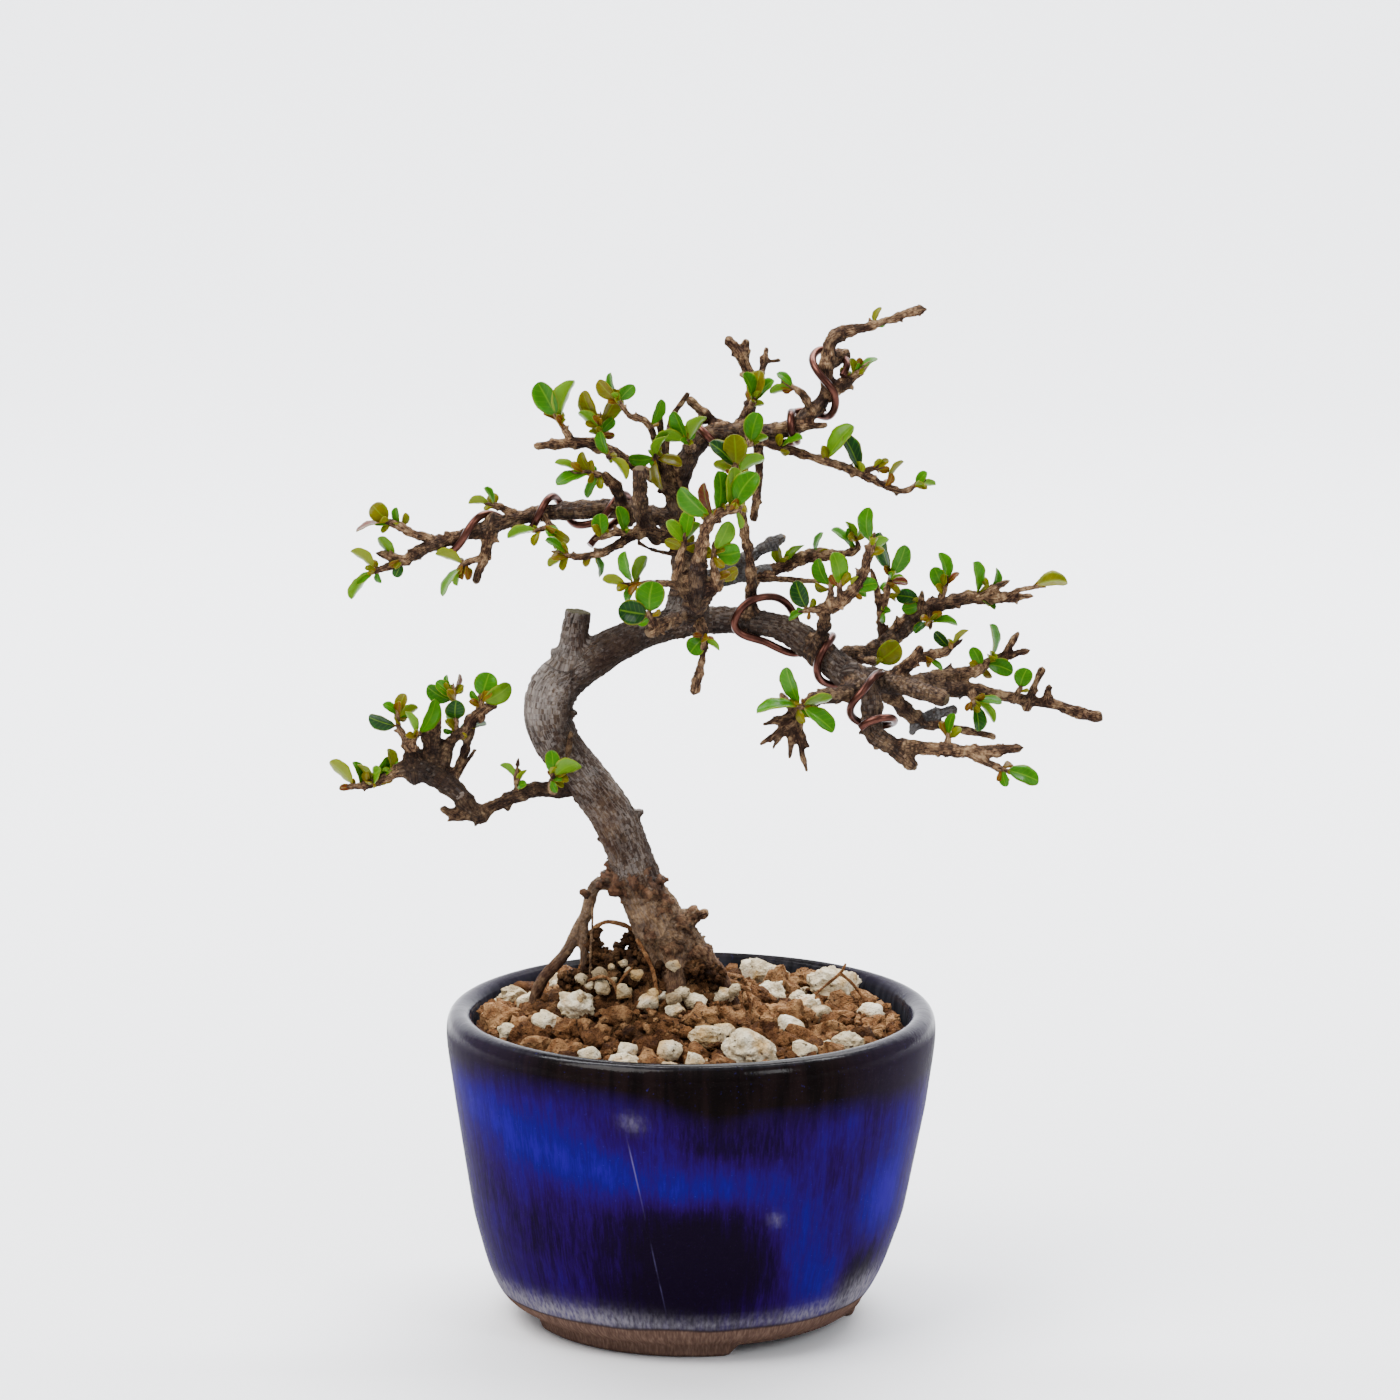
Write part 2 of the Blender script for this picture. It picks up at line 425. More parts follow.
        [(21.6, 168.6, 3.8, 1), (20, 171.2, 3, 0.8), (17.6, 172.8, 3, 0.5)],
    ], [
        (18.4, 172.4, 14.2, 171.4, 1.6, 2.6), (18.4, 172.4, 15.6, 175, 1.6, 3.6),
    ]),
    Spray("upper_right_side", "bo", [
        [(25.4, 171.2, 5, 1.2), (27.5, 173, 5, 1.2), (29.6, 174.6, 5, 0.9), (31.4, 176.2, 5, 0.5)],
    ], [
        (30.2, 175, 33.4, 177.8, 1.3, 4.6), (29, 174.4, 28.6, 177.6, 1.2, 5),
    ]),
    Spray("top_end", "o", [
        [(28.6, 182.6, 6, 1.2), (31.5, 183.2, 6, 0.95), (35.5, 184.5, 6, 0.85), (39, 185.7, 6, 0.9),
         (41, 186.2, 6, 1.1)],
    ], [
        (33, 183.8, 34.2, 186.8, 1.2, 6),
    ]),
    Spray("right_down", "pdorbbb", [
        [(10.6, 163.8, 2.6, 1.1), (14.5, 161.9, 2.4, 0.85), (23, 159.4, 2.4, 0.9),
         (30.5, 156.7, 2.4, 0.9), (37.8, 153.5, 3, 0.7), (41.4, 155, 3, 0.45)],
        [(30, 156.9, 2.4, 0.8), (33.8, 157.9, 1.4, 0.5)],
    ], [
        (24.4, 159, 29.6, 165.2, 3.2, 1.6), (30.6, 156.9, 27, 163.4, 2.8, 3.6),
        (33, 157.6, 35.9, 158.9, 1.4, 1), (35.6, 154.6, 38.8, 158.6, 0.8, 3),
        (40.4, 154.4, 42.6, 157, 1.8, 2.4), (40.8, 154.6, 44.2, 154.8, 1.2, 3.4),
        (16, 161.6, 20.2, 163, 1.3, 1.2),
    ]),
    Spray("right_back", "obbbpb", [
        [(14.6, 139, 10.2, 1.4), (21.5, 141.6, 12, 1.4), (27.5, 142, 12, 0.8), (30.2, 143, 12, 0.7),
         (29.6, 145.2, 12, 0.4)],
    ], [
        (16.8, 139.8, 15.8, 143.6, 2, 9.6), (17.2, 139.8, 20.4, 143.4, 1.4, 9.4),
        (22.6, 141.8, 23.7, 146, 1.1, 11.6), (29.6, 142.6, 25, 146, 1.5, 10.6),
        (29.7, 144.6, 28.2, 148, 1.4, 11.4), (29.7, 144.6, 31.4, 147.6, 1.3, 12.6),
    ]),
    Spray("front_small", "bpdbbbb", [
        [(24.5, 132, -13, 1.3), (27, 133, -14, 1.2), (29.6, 135.4, -14, 1.1), (31.2, 138.4, -14, 1.1),
         (32.2, 141.2, -14, 1.1), (33, 144.6, -14, 0.7)],
        [(25.4, 132.6, -13.6, 0.9), (25.4, 136.4, -12.6, 0.5)],
        [(27, 133.2, -14, 0.8), (27, 136.6, -14.8, 0.5)],
        [(24.6, 132.2, -13.4, 0.9), (20.8, 131.6, -14, 0.6)],
    ], [
        (25.4, 135.6, 23.4, 141.2, 2.6, -12), (26.9, 136, 25.8, 142.2, 3.2, -15.4),
        (21.6, 131.6, 19, 137, 3.4, -14.6), (21.2, 131.6, 17.8, 130, 1.4, -14),
        (32.8, 143.8, 32.2, 150.5, 2.8, -14.4), (32.3, 141.8, 35.8, 144.8, 1.8, -13.6),
        (29.8, 135.6, 33.8, 136.6, 2.8, -12.6),
    ]),
    Spray("right_middle_high", "dbrbb", [
        [(34.8, 126, 3, 1.2), (34.5, 129.8, 3, 0.9), (33.8, 135, 3, 0.7), (33, 138.2, 3, 0.5)],
        [(34.4, 130.4, 3, 0.8), (35.4, 134.4, 2.5, 0.7), (36.5, 139.2, 2, 0.45)],
    ], [
        (36.4, 138.2, 35, 146.2, 2.8, 1.4), (36.4, 137.6, 39, 143.5, 3, 2.6),
        (36, 136.4, 39.4, 136.6, 1.6, 1.6), (35.6, 135, 38.6, 137.8, 1.5, 3.6),
        (34.4, 131, 36.2, 131.6, 1.3, 1.6),
    ]),
    Spray("right_middle_back", "db", [
        [(41.6, 131.8, 5, 1.1), (41.8, 134, 4.6, 0.6)],
    ], [
        (41.6, 133.4, 37.2, 134.4, 3, 4), (41.6, 132.8, 38.2, 131.8, 2.4, 5.4),
    ]),
    Spray("right_middle_top", "bbr", [
        [(45.4, 133.6, 4.8, 1), (46.2, 136.8, 4, 0.6)],
    ], [
        (45.6, 134.4, 44, 139.6, 3, 3.2), (46.1, 136.2, 45.2, 142.2, 2, 4.4),
        (46, 136, 48.8, 138.4, 1.1, 4),
    ]),
    Spray("right_middle_under", "bd", [
        [(43.4, 131.4, 4.4, 0.9), (43.4, 129.4, 3.2, 0.6)],
    ], [
        (43.4, 129.6, 48.4, 129, 1.5, 2.6), (43.4, 130, 40.6, 127.6, 1.5, 2.6),
    ]),
    Spray("right_middle_end", "obdb", [
        [(51.2, 134.1, 5, 1.4), (56.5, 134, 5, 1.2), (60.8, 134.2, 5, 0.7)],
        [(52, 134.4, 5, 0.9), (56.6, 136.6, 5, 0.7)],
        [(57, 134.2, 4.6, 0.8), (59.6, 135.4, 4, 0.5), (62.6, 136, 4, 0.45)],
    ], [
        (62, 136, 68.3, 136.8, 2.8, 3.6), (52, 134.6, 50.4, 140.5, 2.1, 4.4),
        (52, 133.6, 55, 131.6, 1.2, 4), (54.4, 135.6, 55.6, 139.4, 1.5, 5.4),
    ]),
    Spray("right_middle_single", "o", [
        [(30.6, 122.8, -2.6, 1.1), (33.4, 122, -7.4, 0.7)],
    ], [
        (33, 121.8, 38, 125.4, 4.4, -8.2),
    ]),
    Spray("low_right_front", "drb", [
        [(41, 122.4, -13.6, 1), (43.6, 123.3, -13, 1.1), (46, 123.9, -12, 1), (48.4, 125.6, -12, 0.5)],
    ], [
        (47.2, 124.8, 44.2, 127.6, 2, -12.6), (47.6, 124.8, 50.4, 128, 1, -11.6),
        (43, 122.8, 45.6, 120.6, 1.1, -13.6),
    ]),
    Spray("low_right_middle", "bbb", [
        [(52.2, 120.6, -0.2, 1.1), (54.5, 122.3, 1, 0.9), (60.4, 124, 1, 0.7)],
        [(56.8, 123, 1, 0.8), (58.8, 126.6, 1, 0.7)],
    ], [
        (53.2, 121.2, 51.2, 125, 2.4, -0.6), (54.6, 122.6, 53.9, 129.1, 1.3, 1),
        (54, 121.6, 58.6, 120.2, 3.2, -0.6),
    ]),
    Spray("low_right_single", "b", [
        [(59, 115.6, -1.4, 1), (59.8, 117, -3, 0.6)],
    ], [
        (59.6, 116.4, 61.2, 121, 3.4, -3.6),
    ]),
    Spray("low_right_under", "dbb", [
        [(51.2, 116.4, -2.6, 1.2), (51.6, 114.8, -5, 0.7)],
    ], [
        (51.4, 115, 52, 109.4, 2.5, -6), (51.8, 115, 55.4, 111, 1.6, -4.4),
        (51.8, 115.2, 56.6, 114.2, 1.6, -5.6),
    ]),
    Spray("down_end", "bbb", [
        [(43.4, 106.1, -22.4, 1.3), (49, 105.7, -23.8, 1.3), (54, 105.6, -25, 1.3),
         (59.4, 106.2, -25, 0.9)],
        [(51, 105.2, -24.4, 1), (54.6, 103.2, -26, 0.8), (58, 101.8, -26, 0.5)],
        [(46.6, 106, -22.8, 0.9), (47, 108.4, -21, 0.6)],
    ], [
        (57, 102, 63.6, 100, 3.2, -26.4), (56.8, 102.2, 57.6, 99, 1.8, -26),
        (47, 107.8, 48, 112.6, 1.8, -20.6),
    ]),
    Spray("front_low", "bbbd", [
        [(21.6, 113.8, -26.4, 1.2), (20, 113.9, -29.6, 0.7)],
    ], [
        (20, 113.5, 18, 121.4, 2.8, -30), (19.8, 113.7, 12, 112.9, 1.8, -29.4),
        (20.2, 113.6, 26.2, 109.4, 3, -30.6), (20.4, 113.8, 25.8, 115.4, 1.8, -29.8),
    ]),
]

BLEACHED_LIMBS = ((-0.5, 135.4), (41.0, 111.4), (42.0, 111.6), (36.5, 116.5))

COILS: list[Coil] = [
    Coil(
        "wire_upper_left", UPPER_LEFT[::-1], -1,
        [
            (4.5, -0.3, 0.2), (7.3, 0.02, 0.2), (11, 0.25, 0.25), (15.2, 0.5, 0.3), (18.5, 0.75, 0.2),
            (22.3, 1, 0.2), (25, 1.25, 0.3), (27.6, 1.5, 0.6), (29.5, 1.75, 0.5), (32, 2, 0.3),
            (36, 2.16, 0.3),
            (40, 2.5, 0.3), (41.5, 2.75, 0.3), (39, 2.9, 1), (36, 2.97, 2.4), (34, 3, 4.2),
        ],
    ),
    Coil(
        "wire_apex", UPPER_RIGHT, -1,
        [
            (1.5, -0.3, 0.2), (6.3, 0, 0.3), (5.2, 0.25, 0.5), (5, 0.5, 0.4), (9, 0.74, 0.2), (15, 0.86, 0.2),
            (20.6, 1, 0.4), (20.4, 1.25, 0.6), (22, 1.5, 0.5), (24.8, 1.74, 0.3), (27, 2, 0.7),
            (31.2, 2.25, 1),
            (35.6, 2.5, 0.9), (37.4, 2.75, 0.8), (35.4, 3, 1.5), (32.6, 3.12, 1.2),
        ],
    ),
    Coil(
        "wire_right", RIGHT_MAIN + FRONT_DOWN[1:], 1,
        [
            (23, -0.25, 0.3), (21, -0.12, 1.2), (18.4, 0, 2), (15, 0.11, 1.6), (13.4, 0.25, 0.6),
            (15.4, 0.36, 0.3),
            (20, 0.43, 0.3), (25, 0.54, 0.3), (28, 0.8, 0.3), (30, 1, 0.4), (31.4, 1.25, 0.5), (34, 1.5, 0.3),
            (38, 1.75, 0.3), (43, 2, 0.8), (46.6, 2.2, 1.8), (48.4, 2.36, 1), (49.6, 2.6, 0.5),
            (49.8, 2.8, 1.2),
            (49.6, 2.95, 1.8), (50.2, 3.08, 1.2), (51, 3.2, 0.6),
        ],
    ),
]


# Helpers


def clamped(value: float, low: float = 0.0, high: float = 1.0) -> float:
    """Return a number held between two limits."""
    return min(high, max(low, value))


def polar(reach: float, turn: float) -> tuple[float, float]:
    """Return the place at a reach and a turn from the axis."""
    return reach * math.cos(turn), reach * math.sin(turn)


def soft_spot(place: Vector, middle: tuple[float, float], reach: tuple[float, float]) -> float:
    """Return 1 at the middle of a spot on the front view, fading to 0 round it."""
    return math.exp(-(((place.x - middle[0]) / reach[0]) ** 2) - ((place.z - middle[1]) / reach[1]) ** 2)


def seen_point(x: float, z: float, depth: float) -> Vector:
    """Turn a reading in millimetres on the view's middle plane into a place at its depth behind it."""
    return (Vector((x, 0.0, z)) - EYE) * (1.0 - depth / EYE.y) + EYE


def in_metres(place: Vector) -> Vector:
    """Return a place from the pot's axis in millimetres as one in the frame's metres."""
    return (place + POT_AXIS) * MM


def between_points(before: Vector, a: Vector, b: Vector, after: Vector, t: float) -> Vector:
    """Return the place at a share of the way from a to b on a smooth line through four places.

    Args:
        before: The place before a.
        a: Where the stretch starts.
        b: Where it ends.
        after: The place after b.
        t: Share of the way, 0 to 1.

    Returns:
        The place on the line.
    """
    bend = (
        (b - before) * t
        + (before * 2 - a * 5 + b * 4 - after) * t * t
        + (a * 3 - before - b * 3 + after) * t * t * t
    )
    return a + bend * 0.5


def smooth_path(limb: Limb, step: float) -> Run:
    """Run a smooth line through a limb's points.

    Args:
        limb: Points as [x, z, depth, radius] readings.
        step: Wanted distance between the new points, in millimetres.

    Returns:
        The places along the line and the radius at each.
    """
    places = [seen_point(x, z, depth) for x, z, depth, _ in limb]
    radii = [point[3] for point in limb]
    line: list[Vector] = []
    widths: list[float] = []
    last = len(places) - 1
    for i in range(last):
        before = places[i - 1] if i > 0 else places[0] * 2 - places[1]
        after = places[i + 2] if i + 2 <= last else places[last] * 2 - places[last - 1]
        a, b = places[i], places[i + 1]
        count = max(2, round((b - a).length / step))
        for k in range(count):
            t = k / count
            line.append(between_points(before, a, b, after, t))
            ease = t * t * (3 - 2 * t)
            widths.append(radii[i] * (1 - ease) + radii[i + 1] * ease)
    line.append(places[last])
    widths.append(radii[last])
    return line, widths


def carried_frames(line: Sequence[Vector]) -> list[tuple[Vector, Vector, Vector]]:
    """Carry a frame along a line without twisting it.

    Args:
        line: Places along the line.

    Returns:
        For each place its direction, a side, and the side a quarter turn on.
    """
    too_short = 1e-4
    frames: list[tuple[Vector, Vector, Vector]] = []
    side = UP
    for i in range(len(line)):
        ahead = (line[min(i + 1, len(line) - 1)] - line[max(i - 1, 0)]).normalized()
        side = side - ahead * side.dot(ahead)
        if side.length < too_short:
            side = Vector((1.0, 0.0, 0.0)) - ahead * ahead.x
        side.normalize()
        frames.append((ahead, side.copy(), ahead.cross(side)))
    return frames


def search_tree(places: Sequence[Vector]) -> kdtree.KDTree:
    """Sort places so that the nearest of them is found quickly.

    Args:
        places: The places.

    Returns:
        The search tree.
    """
    tree = kdtree.KDTree(len(places))
    for number, place in enumerate(places):
        tree.insert(place, number)
    tree.balance()
    return tree


def soil_height(x: float, y: float) -> float:
    """Return the height of the mounded soil at a place, in millimetres."""
    away = (x + 6.0) ** 2 + (y - 1.0) ** 2
    return 54.6 + 8.0 * math.exp(-away / (2 * 14.0**2))


def on_soil(x: float, y: float, lift: float) -> Vector:
    """Return the place at a height above the mounded soil."""
    return Vector((x, y, soil_height(x, y) + lift))


def clear_selection() -> None:
    """Deselect every object."""
    for thing in list(bpy.context.selected_objects):
        thing.select_set(False)


def make_active(thing: Thing, *others: Thing) -> None:
    """Select an object, with others if given, and make it the active one.

    Args:
        thing: The object.
        others: What is selected with it.
    """
    clear_selection()
    for other in (*others, thing):
        other.select_set(True)
    bpy.context.view_layer.objects.active = thing


def new_object(name: str, data: bpy.types.ID) -> Thing:
    """Put a mesh, a curve, a light or a camera into the scene.

    Args:
        name: Name of the object.
        data: What it holds.

    Returns:
        The new object.
    """
    thing = bpy.data.objects.new(name, data)
    bpy.context.scene.collection.objects.link(thing)
    return thing


def mesh_from(name: str, corners: Iterable, faces: Iterable) -> Thing:
    """Make a smooth-shaded object.

    Args:
        name: Name of the object.
        corners: Places in metres.
        faces: Corner numbers of each face.

    Returns:
        The new object.
    """
    mesh = bpy.data.meshes.new(name)
    mesh.from_pydata([tuple(corner) for corner in corners], [], [tuple(face) for face in faces])
    mesh.validate()
    mesh.polygons.foreach_set("use_smooth", [True] * len(mesh.polygons))
    return new_object(name, mesh)


def melt_together(thing: Thing, voxel: float, rounds: int) -> None:
    """Turn the crossing tubes of a mesh into one closed skin and soften it.

    Args:
        thing: The mesh object.
        voxel: Size of the new faces, in millimetres.
        rounds: How often the skin is smoothed.
    """
    make_active(thing)
    remesh = thing.modifiers.new("one skin", "REMESH")
    remesh.mode = "VOXEL"
    remesh.voxel_size = voxel * MM
    remesh.use_smooth_shade = True
    soften = thing.modifiers.new("soft skin", "SMOOTH")
    soften.factor = 0.5
    soften.iterations = rounds
    for modifier in (remesh, soften):
        bpy.ops.object.modifier_apply(modifier=modifier.name)


def rounded_ends(line: Sequence[Vector], widths: Sequence[float], sink: float) -> Run:
    """Lengthen a tube at both ends and round it off, so that it sinks into what it grows from.

    Args:
        line: Places along the tube.
        widths: Its radii.
        sink: Straight length added before its start, in millimetres.

    Returns:
        The longer line and its radii.
    """
    back = (line[0] - line[1]).normalized()
    ahead = (line[-1] - line[-2]).normalized()
    first, last = widths[0], widths[-1]
    shares = ((0.95, 0.3), (0.75, 0.66), (0.4, 0.92))
    start = [line[0] + back * (sink + first * far) for far, _ in shares] + [line[0] + back * sink]
    end = [line[-1] + ahead * (last * far) for far, _ in reversed(shares)]
    thin_start = [first * fat for _, fat in shares]
    thin_end = [last * fat for _, fat in reversed(shares)]
    return [*start, *line, *end], [*thin_start, first, *widths, *thin_end]


def tubes(name: str, runs: Sequence[Run], sides: int) -> Thing:
    """Sweep round tubes along lines and turn them into one mesh.

    Args:
        name: Name of the object.
        runs: For each tube its places and radii, in millimetres from the pot's axis.
        sides: Bevel resolution of the tubes.

    Returns:
        The mesh object, with closed ends.
    """
    thinnest = 0.08
    curve = bpy.data.curves.new(name, "CURVE")
    curve.dimensions = "3D"
    curve.bevel_depth = MM
    curve.bevel_resolution = sides
    curve.use_fill_caps = True
    for line, widths in runs:
        spline = curve.splines.new("POLY")
        spline.points.add(len(line) - 1)
        for point, place, width in zip(spline.points, line, widths):
            point.co = (*in_metres(place), 1.0)
            point.radius = max(width, thinnest)
    make_active(new_object(name, curve))
    bpy.ops.object.convert(target="MESH")
    return bpy.context.view_layer.objects.active


def corner_array(mesh: bpy.types.Mesh, what: str) -> np.ndarray:
    """Read one vector of every vertex.

    Args:
        mesh: The mesh.
        what: "co" for the places or "normal" for the normals.

    Returns:
        The vectors as rows.
    """
    values = np.empty(len(mesh.vertices) * 3, dtype=np.float32)
    mesh.vertices.foreach_get(what, values)
    return values.reshape(-1, 3)


def move_corners(mesh: bpy.types.Mesh, places: np.ndarray) -> None:
    """Put a mesh's vertices at new places in metres."""
    mesh.vertices.foreach_set("co", places.ravel())
    mesh.update()


def set_number(thing: Thing, name: str, values: Iterable[float]) -> None:
    """Give a mesh object's vertices one number each, under a name."""
    found = thing.data.attributes.new(name, "FLOAT", "POINT")
    found.data.foreach_set("value", np.asarray(list(values), dtype=np.float32))


def set_vector(thing: Thing, name: str, rows: np.ndarray) -> None:
    """Give a mesh object's vertices one vector each, under a name."""
    found = thing.data.attributes.new(name, "FLOAT_VECTOR", "POINT")
    found.data.foreach_set("vector", np.asarray(rows, dtype=np.float32).ravel())


def finish_piece(thing: Thing, slot: str, nodes: Sequence[str], *materials: Material) -> None:
    """Dress a piece and say what it stands for.

    Args:
        thing: The piece.
        slot: The record's material slot for it.
        nodes: The frame's nodes that it replaces.
        materials: Its materials, in the order of its material numbers.
    """
    for material in materials:
        thing.data.materials.append(material)
    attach(thing, "root")
    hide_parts(*nodes)
    LOG.info("%s: %d faces", thing.name, len(thing.data.polygons))


@dataclass(frozen=True)
class LimbSpot:
    """What is known at one place along a limb.

    The end's direction is nought everywhere but at the limb's last place.
    """

    gone: float
    width: float
    side: Vector
    quarter: Vector
    end: Vector
    bleached: float


@dataclass(frozen=True)
class BarkRelief:
    """The rise and fall of the bark on a wooden mesh, and what the bark's material is told there.

    The relief is the height of the ridges as a share of the limb's radius. The age gives the youth
    of the wood, 0 to 1, from a limb's radius and a height, and the exposure gives how strongly the
    weather has bleached the bark at a place.
    """

    relief: float
    age: Callable[[float, float], float]
    exposure: Callable[[Vector], float]
    limb_step: float = 0.8
    limb_gap: float = 17.0
    widest: float = 5.0
    ridge: Point = (1.3, 0.75)
    crack: Point = (2.0, 0.16, 3.2)
    lump: Point = (0.26, 0.55)
    crumbs: Point = (0.95, 0.75, 0.9, 0.8)
    knots: Point = (0.62, 0.9)
    young_share: float = 1.25
    tallest: float = 0.42
    limits: Point = (-1.2, 1.5)
    cut_facing: float = 0.72
    tan_below: Point = (82.6, 2.5, 3.5)
    red_below: Point = (70.0, 4.0, 5.0)
    worn_middle: tuple[float, float] = (-20.5, 91.5)
    worn_reach: tuple[float, float] = (3.6, 6.5)
    worn_share: float = 0.34

    def spots_along(self, limbs: Sequence[Limb]) -> tuple[list[Vector], list[LimbSpot]]:
        """Walk along every limb.

        Args:
            limbs: The limbs that the mesh was made from.

        Returns:
            Places in metres, and what is known at each.
        """
        places: list[Vector] = []
        spots: list[LimbSpot] = []
        start = 0.0
        for limb in limbs:
            bleached = 1.0 if limb[0][:2] in BLEACHED_LIMBS else 0.0
            line, widths = smooth_path(limb, self.limb_step)
            gone = start
            for i, (ahead, side, quarter) in enumerate(carried_frames(line)):
                if i:
                    gone += (line[i] - line[i - 1]).length
                end = ahead if i == len(line) - 1 else Vector((0.0, 0.0, 0.0))
                places.append(in_metres(line[i]))
                spots.append(LimbSpot(gone, widths[i], side, quarter, end, bleached))
            start = gone + self.limb_gap
        return places, spots

    def height_at(self, here: Vector, grain: Vector, young: float, lump: float) -> float:
        """Return how far the bark rises at a place, from -1 in a crack to 1 on a ridge.

        Args:
            here: The place in millimetres.
            grain: The place round and along its limb.
            young: Youth of the wood, 0 to 1.
            lump: The broad swelling there.

        Returns:
            The height, fissured on old wood and crumbly on young wood.
        """
        crack_scale, crack_width, crack_depth = self.crack
        ridge = noise.fractal(grain * self.ridge[0], 0.6, 2.1, 4)
        crack = abs(noise.noise(grain * crack_scale + Vector((9.1, 3.3, 1.7))))
        fissured = ridge * self.ridge[1] - max(0.0, crack_width - crack) * crack_depth + lump * self.lump[1]
        crumb_scale, crumb_level, crumb_height, crumb_more = self.crumbs
        crumbs = noise.turbulence(here * crumb_scale, 3, True)
        knots = noise.noise(here * self.knots[0] + Vector((4.4, 1.2, 8.3)))
        crumbly = (crumbs - crumb_level) * (crumb_height + crumb_more * (1 - young)) + knots * self.knots[1]
        part = min(1.0, young * self.young_share)
        return fissured * (1 - part) + crumbly * part

    def dress(self, thing: Thing, limbs: Sequence[Limb]) -> None:
        """Raise the bark on a wooden mesh and write down what its material needs.

        Each vertex gets its place round and along its own limb, how deep it lies between ridges,
        how much it faces up to the weather, and how young its wood is.

        Args:
            thing: The wooden mesh.
            limbs: The limbs that it was made from.
        """
        places, spots = self.spots_along(limbs)
        tree = search_tree(places)
        corners = corner_array(thing.data, "co")
        normals = corner_array(thing.data, "normal")
        rounds = np.zeros_like(corners)
        names = ("ridge", "weather", "youth", "dead", "cut", "low", "rooty")
        facts = {name: np.zeros(len(corners)) for name in names}
        for i in range(len(corners)):
            corner = Vector(corners[i])
            normal = Vector(normals[i])
            _, found, _ = tree.find(corner)
            spot = spots[found]
            out = corner - places[found]
            angle = math.atan2(out.dot(spot.quarter), out.dot(spot.side))
            here = corner / MM
            young = self.age(spot.width, here.z)
            spread = min(spot.width, self.widest) + 0.6
            along = spot.gone * (0.6 + 0.35 * young)
            grain = Vector((math.cos(angle) * spread, math.sin(angle) * spread, along))
            lump = noise.noise(here * self.lump[0])
            height = self.height_at(here, grain, young, lump)
            size = min(self.relief * spot.width * (1 + young), self.tallest) * MM
            corners[i] += normals[i] * (clamped(height, *self.limits) * size)
            rounds[i] = grain
            facts["ridge"][i] = clamped(0.5 + height * 0.5)
            facts["weather"][i] = self.exposure(here) * clamped(0.5 + 0.5 * normal.dot(SKY) + 0.25 * lump)
            facts["youth"][i] = young
            facts["dead"][i] = spot.bleached
            facts["cut"][i] = 1.0 if normal.dot(spot.end) > self.cut_facing else 0.0
            worn = self.worn_share * soft_spot(here, self.worn_middle, self.worn_reach)
            facts["low"][i] = max(self.share_below(here.z, lump, self.tan_below), worn)
            facts["rooty"][i] = self.share_below(here.z, lump, self.red_below)
        move_corners(thing.data, corners)
        set_vector(thing, "grain", rounds)
        for name, values in facts.items():
            set_number(thing, name, values)

    @staticmethod
    def share_below(height: float, lump: float, edge: Point) -> float:
        """Return 1 below an edge and 0 above it, where the edge is [height, waver, softness]."""
        return clamped((edge[0] - height + edge[1] * lump) / edge[2])


# Materials


